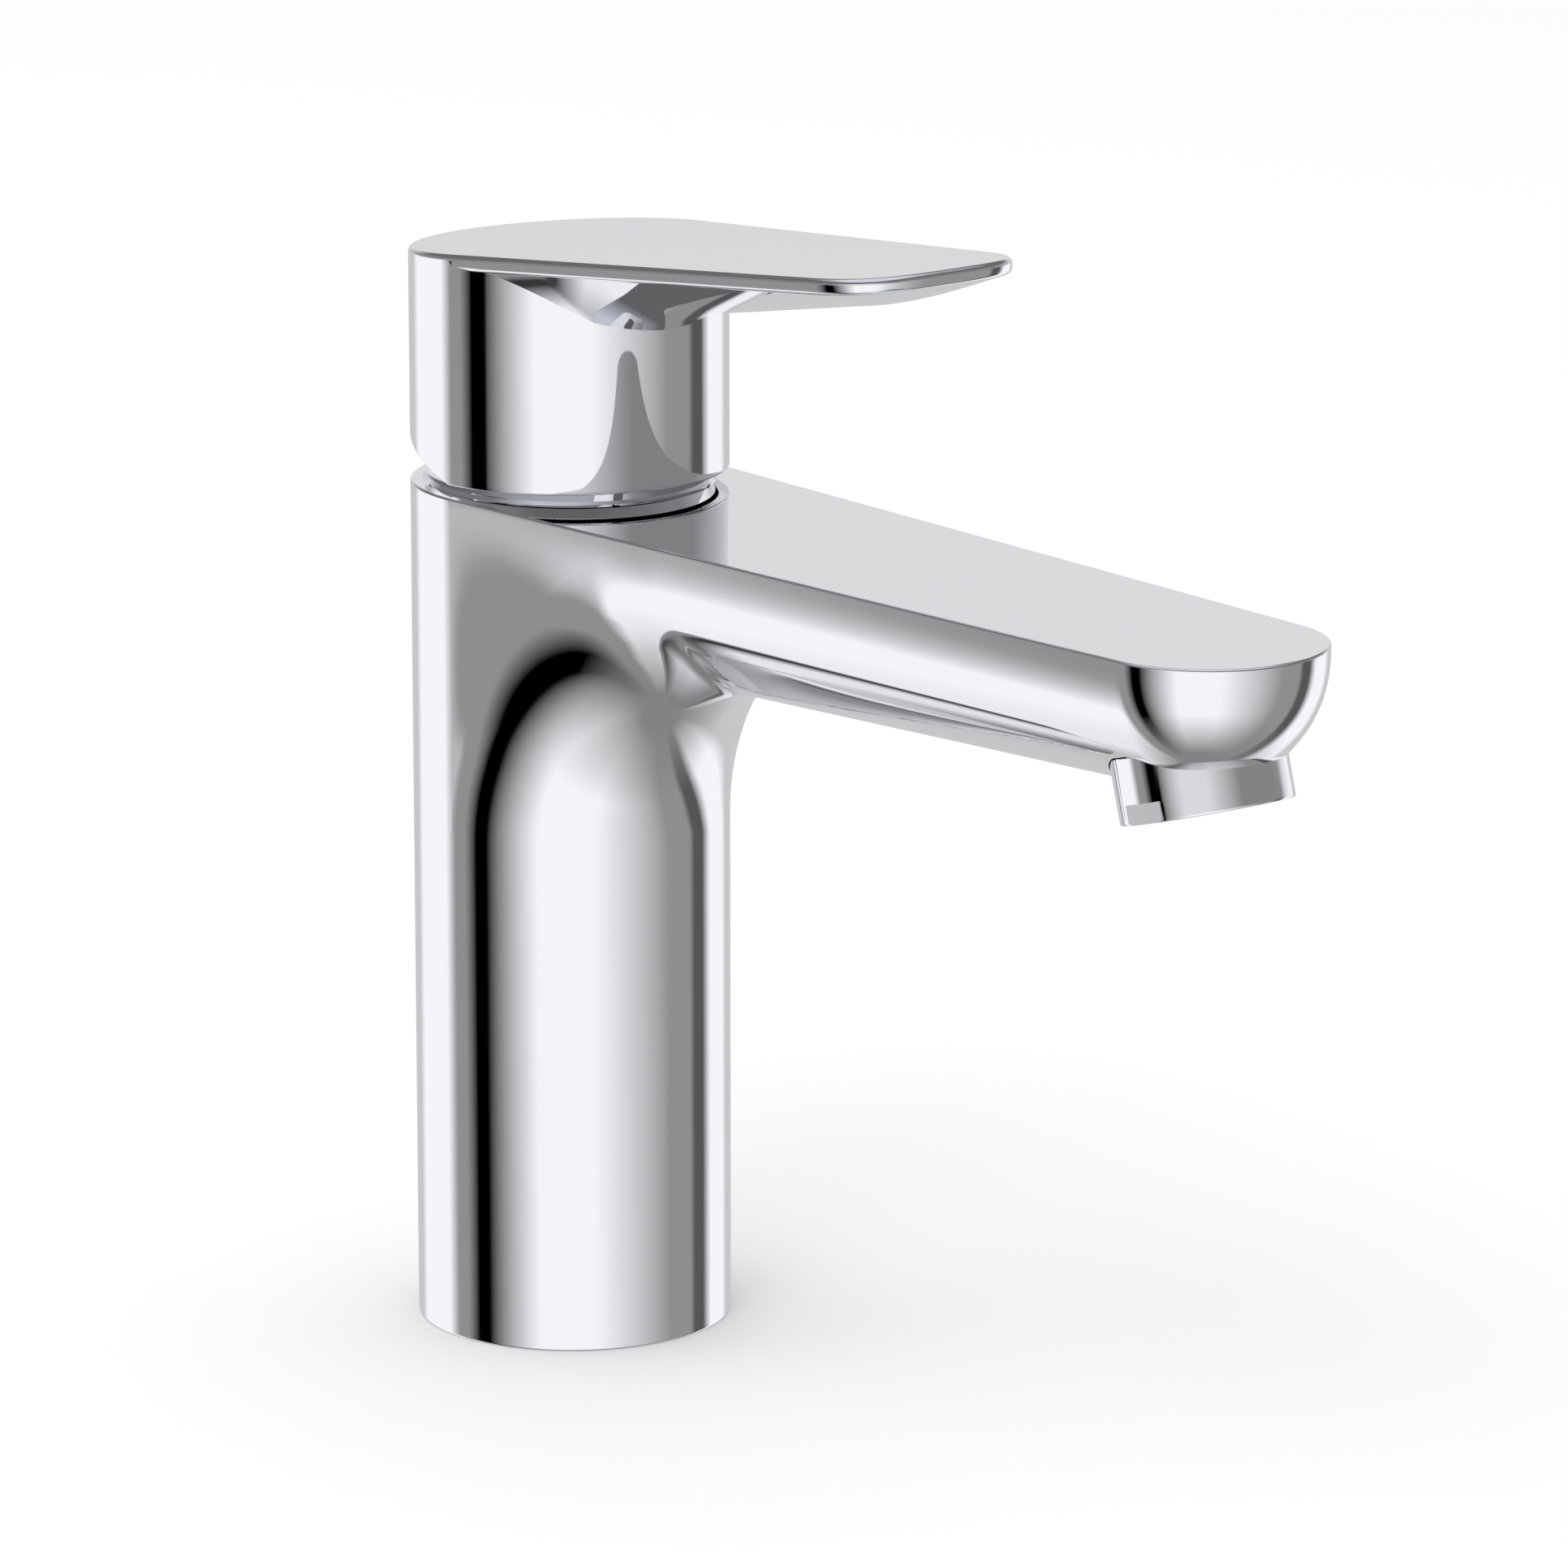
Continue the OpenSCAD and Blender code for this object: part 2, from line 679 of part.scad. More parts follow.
module retaining_nut() {
    color("goldenrod")
        difference() {
            union() {
                translate([0, 0, nut_z])
                    cylinder(r = nut_r, h = trim_z - nut_z);
                translate([0, 0, trim_z - eps])
                    cylinder(r = nut_flats / sqrt(3), h = nut_top - trim_z + eps, $fn = 6);
            }
            translate([0, 0, nut_z - 1])
                cylinder(r = cart_r + slack, h = shoulder_z - nut_z + 1);
            translate([0, 0, nut_z])
                cylinder(r = neck_r + slack, h = far);
        }
}

module trim_ring() {
    color("gainsboro")
        difference() {
            union() {
                translate([0, 0, trim_z])
                    cylinder(r = trim_r, h = trim_foot_h);
                translate([0, 0, trim_z])
                    cylinder(r = trim_wall_r, h = trim_top - trim_z);
            }
            translate([0, 0, trim_z - 1])
                cylinder(r = trim_wall_r - trim_t, h = nut_top - trim_z + 1.2);
            translate([0, 0, trim_z])
                cylinder(r = neck_r + 0.5, h = far);
        }
}

// -------------------------------------------------------------------- lever

module spindle() {
    color("silver")
        difference() {
            union() {
                translate([0, 0, ball_z])
                    sphere(r = ball_r, $fn = 48);
                translate([0, 0, ball_z])
                    cylinder(r = ball_neck_r, h = spindle_z - ball_z + eps);
                translate([0, 0, spindle_z])
                    cylinder(r = spindle_r, h = square_z - spindle_z + eps);
                translate([-square / 2, -square / 2, square_z])
                    cube([square, square, spindle_top - square_z]);
            }
            translate([0, 0, pivot_z])
                rotate([90, 0, 0])
                    cylinder(r = pin_r + run, h = far, center = true);
        }
}

module spindle_bush() {
    color("white")
        difference() {
            translate([-bush / 2, -bush / 2, boss_z])
                cube([bush, bush, ceiling_z - boss_z]);
            translate([-square / 2, -square / 2, boss_z - 1])
                cube([square, square, spindle_top - boss_z + 1]);
            translate([0, 0, screw_z])
                rotate([0, -90, 0])
                    cylinder(r = screw_r, h = bush);
        }
}

module lever_blank() {
    loft(concat(
        [for (s = [0.05, 0.25, 0.45, 0.65, 0.85]) belly_ring(s)],
        [for (e = [[1, 1], [0.3, 0.88], [0, 0.64], [0, 0.38], [0.3, 0.1], [1, 0]])
            lever_ring(rim_round * e[0], rim_t * e[1])]), strips = true);
}

// Wedge that clears the back of the skirt when the lever is lifted.
module relief() {
    rotate([90, 0, 0])
        linear_extrude(height = far, center = true)
            polygon([
                [relief_x, skirt_z - 1], [relief_x, skirt_z],
                [-body_r - 2, skirt_z + tan(relief_angle) * (body_r + 2 + relief_x)],
                [-body_r - 2, skirt_z - 1]]);
}

module lever_handle() {
    color("gainsboro")
        difference() {
            union() {
                difference() {
                    union() {
                        translate([0, 0, skirt_z])
                            cylinder(r = body_r, h = lever_h - rim_t - 1);
                        intersection() {
                            translate([0, 0, skirt_z + lever_h / 3])
                                cylinder(r = body_r, h = far);
                            translate([0, 0, lever_z - rim_t * 0.6])
                                rotate([0, -lever_rise, 0])
                                    translate([-far, -far, -20])
                                        cube([2 * far, 2 * far, 20]);
                        }
                        lever_blank();
                    }
                    translate([0, 0, skirt_z - 1])
                        cylinder(r = skirt_bore_r, h = ceiling_z - skirt_z + 1);
                    relief();
                }
                // boss of the spindle and rib of the set screw
                intersection() {
                    union() {
                        translate([0, 0, boss_z])
                            cylinder(r = boss_r, h = ceiling_z - boss_z + eps);
                        translate([-skirt_bore_r - eps, -rib_w / 2, rib_z])
                            cube([skirt_bore_r, rib_w, ceiling_z - rib_z + eps]);
                    }
                    cylinder(r = skirt_bore_r + eps, h = far);
                }
            }
            translate([-bush / 2, -bush / 2, boss_z - 1])
                cube([bush, bush, ceiling_z - boss_z + 1]);
            translate([0, 0, screw_z])
                rotate([0, -90, 0])
                    cylinder(r = screw_r, h = far);
            translate([-plug_in, 0, screw_z])
                rotate([0, -90, 0])
                    cylinder(r = plug_r, h = far);
            at_mark(hot_at)
                cylinder(r = mark_r, h = 5);
            at_mark(cold_at)
                cylinder(r = mark_r, h = 5);
        }
}

// A place on the lever's sloping top, sunk by the thickness of a mark.
module at_mark(p) {
    translate([p[0], p[1], lever_top(p[0])])
        rotate([0, -lever_rise, 0])
            translate([0, 0, -mark_t])
                children();
}

module set_screw() {
    screw_len = 9;
    color("dimgray")
        difference() {
            translate([-square / 2, 0, screw_z])
                rotate([0, -90, 0])
                    cylinder(r = screw_r, h = screw_len);
            // hexagon socket
            translate([-square / 2 - screw_len + 2.6, 0, screw_z])
                rotate([0, -90, 0])
                    cylinder(r = 1.45, h = 4, $fn = 6);
        }
}

module screw_plug() {
    color("gainsboro")
        intersection() {
            translate([-plug_in, 0, screw_z])
                rotate([0, -90, 0])
                    cylinder(r = plug_r, h = 6);
            cylinder(r = body_r, h = far);
        }
}

module hot_mark() {
    color("mistyrose")
        at_mark(hot_at)
            cylinder(r = mark_r, h = mark_t);
}

module cold_mark() {
    color("aliceblue")
        at_mark(cold_at)
            cylinder(r = mark_r, h = mark_t);
}

// ------------------------------------------------------------------- outlet

module aerator_shell() {
    color("gainsboro")
        at_outlet()
            difference() {
                cylinder(r = outlet_r, h = ring_h);
                translate([0, 0, -1])
                    cylinder(r = lip_r, h = ring_h + 2);
                translate([0, 0, lip_t])
                    cylinder(r = nipple_r + slack, h = ring_h);
                // spanner flats
                for (s = [0, 180])
                    rotate(s)
                        translate([-outlet_r, outlet_r - flat_depth, -1])
                            cube([2 * outlet_r, outlet_r, flat_h + 1]);
            }
}

// Plate of small holes that shapes the stream, in rings of six more each.
module jet_former() {
    color("lightgray")
        at_outlet()
            difference() {
                union() {
                    translate([0, 0, jet_in])
                        cylinder(r = lip_r - slack, h = cage_z - jet_in);
                    // rim that rests on the ring's lip
                    translate([0, 0, lip_t])
                        cylinder(r = insert_rim_r, h = cage_z - lip_t);
                }
                for (k = [0:jet_rings - 1])
                    for (i = [0:max(1, 6 * k) - 1])
                        rotate(k == 0 ? 0 : i * 60 / k)
                            translate([k * jet_pitch, 0, 0])
                                cylinder(r = jet_r, h = cage_z + 1, $fn = 24);
            }
}

module aerator_cage() {
    color("white")
        at_outlet()
            difference() {
                union() {
                    translate([0, 0, cage_z])
                        cylinder(r = insert_r, h = cage_h);
                    translate([0, 0, cage_z])
                        cylinder(r = insert_rim_r, h = insert_flange_t);
                }
                translate([0, 0, regulator_z])
                    cylinder(r = insert_r - cage_wall, h = far);
                // holes that mix in air
                for (a = [0:45:315])
                    rotate(a)
                        translate([4.6, 0, 0])
                            cylinder(r = 1.1, h = regulator_z + 1);
            }
}

module aerator_washer() {
    color("black")
        at_outlet(cage_z + insert_flange_t)
            ring(insert_rim_r, insert_r, nipple_end - cage_z - insert_flange_t);
}

module flow_regulator() {
    color("lightgreen")
        at_outlet(regulator_z)
            difference() {
                cylinder(r = insert_r - cage_wall - slack, h = regulator_h);
                for (a = [0:60:300])
                    rotate(a)
                        translate([4, 0, -1])
                            cylinder(r = 1, h = regulator_h + 2);
            }
}

body_casting();
foot_seal();
cartridge_base();
port_seals();
disc_seals();
fixed_disc();
cartridge_housing();
retaining_nut();
trim_ring();
temperature_stop();
aerator_shell();
jet_former();
aerator_cage();
aerator_washer();
flow_regulator();
swivel_guide();
guide_ring();
pivot_pin();
moving_disc();
disc_carrier();
spindle();
spindle_bush();
lever_handle();
set_screw();
screw_plug();
hot_mark();
cold_mark();
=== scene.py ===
"""Single-lever basin mixer, dressed for its pictures.

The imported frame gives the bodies, the joints and every hidden piece. The
surfaces that show are made here as numpy skins in the same frame: the casting,
the lever, the outlet's ring, the trim ring and the screw plug. Sizes are in
millimetres and become metres when a mesh is made.
"""

import enum
import json
import logging
import math
from dataclasses import dataclass, field

import bmesh
import bpy
import numpy as np
from mathutils import Matrix, Vector


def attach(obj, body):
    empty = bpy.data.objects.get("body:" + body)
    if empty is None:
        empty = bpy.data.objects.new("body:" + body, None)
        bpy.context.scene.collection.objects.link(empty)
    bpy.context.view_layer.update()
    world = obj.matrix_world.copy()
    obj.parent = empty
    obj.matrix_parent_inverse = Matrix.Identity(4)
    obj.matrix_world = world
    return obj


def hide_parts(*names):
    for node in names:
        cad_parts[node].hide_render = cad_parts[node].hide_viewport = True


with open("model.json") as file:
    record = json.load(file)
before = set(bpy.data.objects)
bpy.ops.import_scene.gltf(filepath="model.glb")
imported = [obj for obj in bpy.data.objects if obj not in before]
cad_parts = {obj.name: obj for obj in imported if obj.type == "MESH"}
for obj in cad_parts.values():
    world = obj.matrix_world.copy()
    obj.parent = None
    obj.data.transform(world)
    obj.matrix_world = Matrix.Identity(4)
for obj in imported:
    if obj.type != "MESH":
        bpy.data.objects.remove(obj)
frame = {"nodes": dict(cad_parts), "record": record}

LOG = logging.getLogger("mixer")
MM = 0.001
ANGLE, HEIGHT = 360.0, 180.0
Array = np.ndarray
Color = tuple[float, float, float]


# ------------------------------------------------------------------ skins


class SkinBuilder:
    """Collects grids of points and turns them into one closed mesh."""

    def __init__(self) -> None:
        """Starts with no points."""
        self.points: list[Array] = []
        self.faces: list[Array] = []
        self.count = 0

    def grid(self, points: Array, flip: bool = False) -> None:
        """Adds a grid: each cell of four neighbouring points becomes one face.

        Args:
            points: rows x columns x 3, in millimetres.
            flip: turns the faces round.
        """
        rows, cols = points.shape[:2]
        index = self.count + np.arange(rows * cols).reshape(rows, cols)
        quads = np.stack(
            [index[:-1, :-1], index[1:, :-1], index[1:, 1:], index[:-1, 1:]], -1
        ).reshape(-1, 4)
        self.points.append(points.reshape(-1, 3))
        self.faces.append(quads[:, ::-1] if flip else quads)
        self.count += rows * cols

    def both(self, points: Array, flip: bool = False) -> None:
        """Adds a grid of the +Y side and its mirror image on the -Y side.

        Args:
            points: rows x columns x 3, in millimetres.
            flip: turns the faces round.
        """
        self.grid(points, flip)
        self.grid(points * np.array([1.0, -1.0, 1.0]), not flip)

    def across(self, edge: Array, flip: bool = False) -> None:
        """Closes a flat face: each point of the edge is joined to its mirror image.

        Args:
            edge: points x 3 on the +Y side, in millimetres.
            flip: turns the faces round.
        """
        self.grid(np.stack([edge, edge * np.array([1.0, -1.0, 1.0])], 1), flip)

    def mesh(self, name: str) -> bpy.types.Mesh:
        """Makes the mesh, with seams and poles merged and faces pointing outwards.

        Args:
            name: the mesh's name.

        Returns:
            The new mesh, in metres.
        """
        points = np.concatenate(self.points) * MM
        faces = np.concatenate(self.faces)
        mesh = bpy.data.meshes.new(name)
        mesh.from_pydata(points.tolist(), [], faces.tolist())
        made = bmesh.new()
        made.from_mesh(mesh)
        bmesh.ops.remove_doubles(made, verts=made.verts, dist=2e-6)
        bmesh.ops.dissolve_degenerate(made, edges=made.edges, dist=1e-6)
        bmesh.ops.recalc_face_normals(made, faces=made.faces)
        made.to_mesh(mesh)
        made.free()
        return mesh


def revolve(profile: Array, turns: int = 96, placed: Matrix | None = None) -> SkinBuilder:
    """A body of revolution: point (r, z) of the profile goes to (r cos a, r sin a, z).

    Args:
        profile: closed run of (r, z) in millimetres; an end at r = 0 closes as a pole.
        turns: steps round the axis.
        placed: where the axis stands, in millimetres; the z axis if left out.

    Returns:
        The builder that holds the skin.
    """
    a = np.linspace(0, 2 * np.pi, turns + 1)[:, None]
    r, z = profile[None, :, 0], profile[None, :, 1]
    points = np.stack([r * np.cos(a), r * np.sin(a), z + 0 * a], -1)
    return placed_skin(points, placed)


def placed_skin(points: Array, placed: Matrix | None = None) -> SkinBuilder:
    """Puts a grid into a new builder, through a matrix if one is given.

    Args:
        points: rows x columns x 3.
        placed: the matrix, or None to leave the points where they are.

    Returns:
        The builder that holds the grid.
    """
    if placed is not None:
        m = np.array(placed)
        points = points @ m[:3, :3].T + m[:3, 3]
    skin = SkinBuilder()
    skin.grid(points)
    return skin


def rounded(corners: list[tuple[float, float, float]], steps: int = 5) -> Array:
    """A closed profile whose corners are rounded.

    At a corner of radius c the curve is the arc that touches both sides, drawn
    as the quadratic a(1-s)^2 + 2 p s(1-s) + b s^2 between the touching points.

    Args:
        corners: (r, z, radius) of each corner, in order.
        steps: points on each rounded corner.

    Returns:
        The profile's points, the first one repeated at the end.
    """
    p = np.array([c[:2] for c in corners], float)
    s = np.linspace(0, 1, steps)[:, None]
    out: list[Array] = []
    for k, (_, _, radius) in enumerate(corners):
        here, back, ahead = p[k], p[k - 1], p[(k + 1) % len(p)]
        if radius <= 0:
            out.append(here[None])
            continue
        a = here + (back - here) / np.linalg.norm(back - here) * radius
        b = here + (ahead - here) / np.linalg.norm(ahead - here) * radius
        out.append(a * (1 - s) ** 2 + 2 * here * s * (1 - s) + b * s**2)
    run = np.concatenate(out)
    return np.concatenate([run, run[:1]])


def extruded(outline: Array, low: float, high: float) -> SkinBuilder:
    """An upright prism: the outline carried from z = low to z = high, closed by flat ends.

    Args:
        outline: points x 2, counter-clockwise from above, not repeated.
        low: height of the lower end.
        high: height of the upper end.

    Returns:
        The builder that holds the skin, with triangle-fan ends.
    """
    ring = np.concatenate([outline, outline[:1]])
    middle = outline.mean(0)
    low_ring = np.column_stack([ring, np.full(len(ring), low)])
    high_ring = np.column_stack([ring, np.full(len(ring), high)])
    low_mid = np.broadcast_to([*middle, low], low_ring.shape)
    high_mid = np.broadcast_to([*middle, high], high_ring.shape)
    return placed_skin(np.stack([low_mid, low_ring, high_ring, high_mid], 1))


def circle(angle: Array) -> Array:
    """Directions (cos a, sin a) of angles in radians, angles x 2."""
    return np.stack([np.cos(angle), np.sin(angle)], -1)


def arc(start: float, end: float, count: int) -> Array:
    """Directions from one angle to another, in degrees."""
    return circle(np.radians(np.linspace(start, end, count)))


def outer_edge(r: float, size: float, start: float = 0) -> Array:
    """Points (r, z) of a wall's rounded lower edge: (r - e + e cos a, e - e sin a)."""
    return np.array([r - size, size]) + size * arc(start, 90, 5) * np.array([1, -1])


def inner_edge(r: float, size: float) -> Array:
    """Points (r, z) of a hole's rounded lower edge: (r + e - e sin a, e - e cos a)."""
    return np.array([r + size, size]) - size * arc(0, 90, 5)[:, ::-1]


def ease(value: Array, start: float, end: float) -> Array:
    """Rises smoothly from 0 to 1 between two values: 3u^2 - 2u^3."""
    u = np.clip((value - start) / (end - start), 0, 1)
    return u * u * (3 - 2 * u)


def plan_normals(outline: Array) -> Array:
    """Inward directions along an outline that starts and ends on the middle plane.

    The direction is the outline's tangent turned by a right angle, with no y at the ends.

    Args:
        outline: points x 2 on the +Y side, from the far tip back to the pillar's rear.

    Returns:
        Unit vectors, points x 2.
    """
    tangent = np.gradient(outline, axis=0)
    inward = np.stack([-tangent[:, 1], tangent[:, 0]], -1)
    inward[0], inward[-1] = (-1, 0), (1, 0)
    return inward / np.linalg.norm(inward, axis=1, keepdims=True)


def finished(
    builder_mesh: bpy.types.Mesh,
    name: str,
    joined: bpy.types.Mesh | None = None,
    cutters: list[bpy.types.Mesh] | None = None,
    sharp: float = 28.0,
) -> bpy.types.Object:
    """Makes an object of a skin, adds and cuts away other solids, and shades it.

    Args:
        builder_mesh: the outer skin.
        name: the object's name.
        joined: a solid that becomes part of the piece.
        cutters: solids that are cut away, one after another.
        sharp: edges that turn by more than this, in degrees, stay sharp.

    Returns:
        The object, with area-weighted normals.
    """
    obj = bpy.data.objects.new(name, builder_mesh)
    bpy.context.scene.collection.objects.link(obj)
    tools: list[bpy.types.Object] = []
    jobs = ([("UNION", joined)] if joined else []) + [("DIFFERENCE", c) for c in cutters or []]
    for n, (operation, mesh) in enumerate(jobs):
        tool = bpy.data.objects.new(f"{name}_tool_{n}", mesh)
        bpy.context.scene.collection.objects.link(tool)
        tools.append(tool)
        cut = obj.modifiers.new(f"{operation.lower()}_{n}", "BOOLEAN")
        cut.operation, cut.object, cut.solver = operation, tool, "EXACT"
    depsgraph = bpy.context.evaluated_depsgraph_get()
    depsgraph.update()
    mesh = bpy.data.meshes.new_from_object(obj.evaluated_get(depsgraph))
    obj.modifiers.clear()
    old, obj.data = obj.data, mesh
    mesh.name = name
    bpy.data.meshes.remove(old)
    for tool in tools:
        bpy.data.objects.remove(tool)
    mesh.materials.clear()
    mesh.shade_smooth()
    mesh.set_sharp_from_angle(angle=math.radians(sharp))
    weigh = obj.modifiers.new("even_normals", "WEIGHTED_NORMAL")
    weigh.mode, weigh.keep_sharp, weigh.weight = "FACE_AREA", True, 50
    return obj


# --------------------------------------------------------------- materials


class Nodes:
    """Short ways to put nodes into one node tree."""

    def __init__(self, tree: bpy.types.NodeTree) -> None:
        """Works on the given tree."""
        self.tree = tree

    def add(self, kind: str, **settings: object) -> bpy.types.Node:
        """Adds a node of that kind and sets its properties."""
        node = self.tree.nodes.new(kind)
        for key, value in settings.items():
            setattr(node, key, value)
        return node

    def link(self, source: bpy.types.NodeSocket, target: bpy.types.NodeSocket) -> None:
        """Joins two sockets."""
        self.tree.links.new(source, target)

    def feed(self, target: bpy.types.NodeSocket, value: object) -> None:
        """Joins a socket to the input, or sets the input to a number or colour."""
        if isinstance(value, bpy.types.NodeSocket):
            self.link(value, target)
        else:
            target.default_value = value

    def math(self, operation: str, *values: object) -> bpy.types.NodeSocket:
        """A Math node whose inputs are numbers or sockets; gives its output socket."""
        node = self.add("ShaderNodeMath", operation=operation)
        for socket, value in zip(node.inputs, values):
            self.feed(socket, value)
        return node.outputs[0]

    def mix(self, factor: bpy.types.NodeSocket, a: object, b: object) -> bpy.types.NodeSocket:
        """A colour Mix node whose inputs are colours or sockets; gives its output socket."""
        node = self.add("ShaderNodeMix", data_type="RGBA")
        self.link(factor, node.inputs["Factor"])
        colors = [socket for socket in node.inputs if socket.type == "RGBA"]
        for socket, value in zip(colors, (a, b)):
            self.feed(socket, value)
        return next(socket for socket in node.outputs if socket.type == "RGBA")

    def noise(self, place: bpy.types.NodeSocket, scale: object, detail: float = 2) -> bpy.types.NodeSocket:
        """A Noise texture; gives its value socket."""
        node = self.add("ShaderNodeTexNoise")
        for key, value in (("Vector", place), ("Scale", scale), ("Detail", detail)):
            self.feed(node.inputs[key], value)
        return node.outputs["Fac"]

    def bump(self, height: bpy.types.NodeSocket, distance: float, strength: object) -> bpy.types.NodeSocket:
        """A Bump node; gives its normal socket."""
        node = self.add("ShaderNodeBump")
        for key, value in (("Height", height), ("Distance", distance), ("Strength", strength)):
            self.feed(node.inputs[key], value)
        return node.outputs[0]

    def unless_glossy(self, eye: bpy.types.Node, glossy: bpy.types.Node, out: bpy.types.Node) -> None:
        """Gives the output one shader for reflections and the other for all else."""
        path, blend = self.add("ShaderNodeLightPath"), self.add("ShaderNodeMixShader")
        sources = (path.outputs["Is Glossy Ray"], eye.outputs[0], glossy.outputs[0])
        for source, target in zip(sources, blend.inputs):
            self.link(source, target)
        self.link(blend.outputs[0], out.inputs["Surface"])

    def place(self) -> bpy.types.NodeSocket:
        """The Object coordinates."""
        return self.add("ShaderNodeTexCoord").outputs["Object"]

    def split(self, vector: bpy.types.NodeSocket) -> list[bpy.types.NodeSocket]:
        """A Separate XYZ node; gives its x, y and z sockets."""
        node = self.add("ShaderNodeSeparateXYZ")
        self.link(vector, node.inputs[0])
        return list(node.outputs)

    def ramp(self, value: bpy.types.NodeSocket, stops: list[tuple[float, Color]]) -> bpy.types.NodeSocket:
        """A colour ramp through the given stops; gives its colour socket."""
        node = self.add("ShaderNodeValToRGB")
        band = node.color_ramp
        while len(band.elements) < len(stops):
            band.elements.new(0.5)
        for element, (place, color) in zip(band.elements, stops):
            element.position = place
            element.color = (*color, 1)
        self.link(value, node.inputs[0])
        return node.outputs[0]


def new_group(
    name: str, inputs: dict[str, float], outputs: dict[str, str]
) -> tuple[bpy.types.NodeTree, Nodes]:
    """Starts a shader node group.

    Args:
        name: the group's name.
        inputs: number inputs and their starting values.
        outputs: outputs and their socket types.

    Returns:
        The group's tree and a helper for it.
    """
    tree = bpy.data.node_groups.new(name, "ShaderNodeTree")
    for key, value in inputs.items():
        socket = tree.interface.new_socket(name=key, in_out="INPUT", socket_type="NodeSocketFloat")
        socket.default_value = value
    for key, kind in outputs.items():
        tree.interface.new_socket(name=key, in_out="OUTPUT", socket_type=kind)
    return tree, Nodes(tree)


def polish_group() -> bpy.types.NodeTree:
    """Polished plating: faint haze patches and hairlines in the roughness, a very slight ripple.

    Returns:
        A group with inputs Roughness, Haze, Ripple and Dull and outputs Roughness and Normal.
        Dull is added in the narrow rear end that the polishing wheel can't reach, and fades in front.
    """
    tree, n = new_group(
        "polished_plating",
        {"Roughness": 0.03, "Haze": 0.02, "Ripple": 0.02, "Dull": 0.0},
        {"Roughness": "NodeSocketFloat", "Normal": "NodeSocketVector"},
    )
    given, out = n.add("NodeGroupInput"), n.add("NodeGroupOutput")
    place = n.place()
    cloud = n.noise(place, 55, 3)
    stretch = n.add("ShaderNodeMapping")
    stretch.inputs["Scale"].default_value = (1, 1, 14)
    n.link(place, stretch.inputs["Vector"])
    hair = n.noise(stretch.outputs[0], 420)
    fine = n.math("MULTIPLY", n.math("POWER", hair, 4.0), 1.2)
    haze = n.math("MULTIPLY", n.math("ADD", n.math("MULTIPLY", cloud, cloud), fine), given.outputs["Haze"])
    # 1 behind x = 49 mm, 0 in front of x = 67 mm
    behind = n.math("MULTIPLY_ADD", n.split(place)[0], -55.0, 3.7)
    behind = n.math("MINIMUM", n.math("MAXIMUM", behind, 0.0), 1.0)
    dull = n.math("MULTIPLY_ADD", behind, given.outputs["Dull"], given.outputs["Roughness"])
    n.link(n.math("ADD", dull, haze), out.inputs["Roughness"])
    n.link(n.bump(n.noise(place, 90, 1), 0.00001, given.outputs["Ripple"]), out.inputs["Normal"])
    return tree


def grain_group() -> bpy.types.NodeTree:
    """Moulded grain: a fine bump, and light and dark patches for the colour.

    Returns:
        A group with inputs Scale, Depth and Roughness and outputs Shade, Roughness and Normal.
    """
    tree, n = new_group(
        "moulded_grain",
        {"Scale": 2500, "Depth": 0.3, "Roughness": 0.4},
        {"Shade": "NodeSocketFloat", "Roughness": "NodeSocketFloat", "Normal": "NodeSocketVector"},
    )
    given, out = n.add("NodeGroupInput"), n.add("NodeGroupOutput")
    place = n.place()
    grain, patch = n.noise(place, given.outputs["Scale"]), n.noise(place, 160, 4)
    n.link(patch, out.inputs["Shade"])
    rough = n.math("MULTIPLY_ADD", patch, 0.2, -0.1)
    n.link(n.math("ADD", given.outputs["Roughness"], rough), out.inputs["Roughness"])
    n.link(n.bump(grain, 0.00005, given.outputs["Depth"]), out.inputs["Normal"])
    return tree


def lathe_group() -> bpy.types.NodeTree:
    """Turned metal: fine rings round the z axis, h = sin(2 pi r / pitch) + sin(2 pi z / pitch).

    Returns:
        A group with inputs Pitch, Depth and Roughness and outputs Roughness and Normal.
    """
    tree, n = new_group(
        "turned_rings",
        {"Pitch": 0.00025, "Depth": 0.25, "Roughness": 0.25},
        {"Roughness": "NodeSocketFloat", "Normal": "NodeSocketVector"},
    )
    given, out = n.add("NodeGroupInput"), n.add("NodeGroupOutput")
    x, y, z = n.split(n.place())
    r = n.math("SQRT", n.math("ADD", n.math("MULTIPLY", x, x), n.math("MULTIPLY", y, y)))
    step = n.math("DIVIDE", 6.2832, given.outputs["Pitch"])
    waves = [n.math("SINE", n.math("MULTIPLY", value, step)) for value in (r, z)]
    rings = n.math("ADD", *waves)
    n.link(n.bump(rings, 0.00001, given.outputs["Depth"]), out.inputs["Normal"])
    rough = n.math("ADD", given.outputs["Roughness"], n.math("MULTIPLY", rings, 0.03))
    n.link(rough, out.inputs["Roughness"])
    return tree


class Surface(enum.Enum):
    """The surface effects that finishes share."""

    POLISHED = "polished_plating"
    MOULDED = "moulded_grain"
    TURNED = "turned_rings"


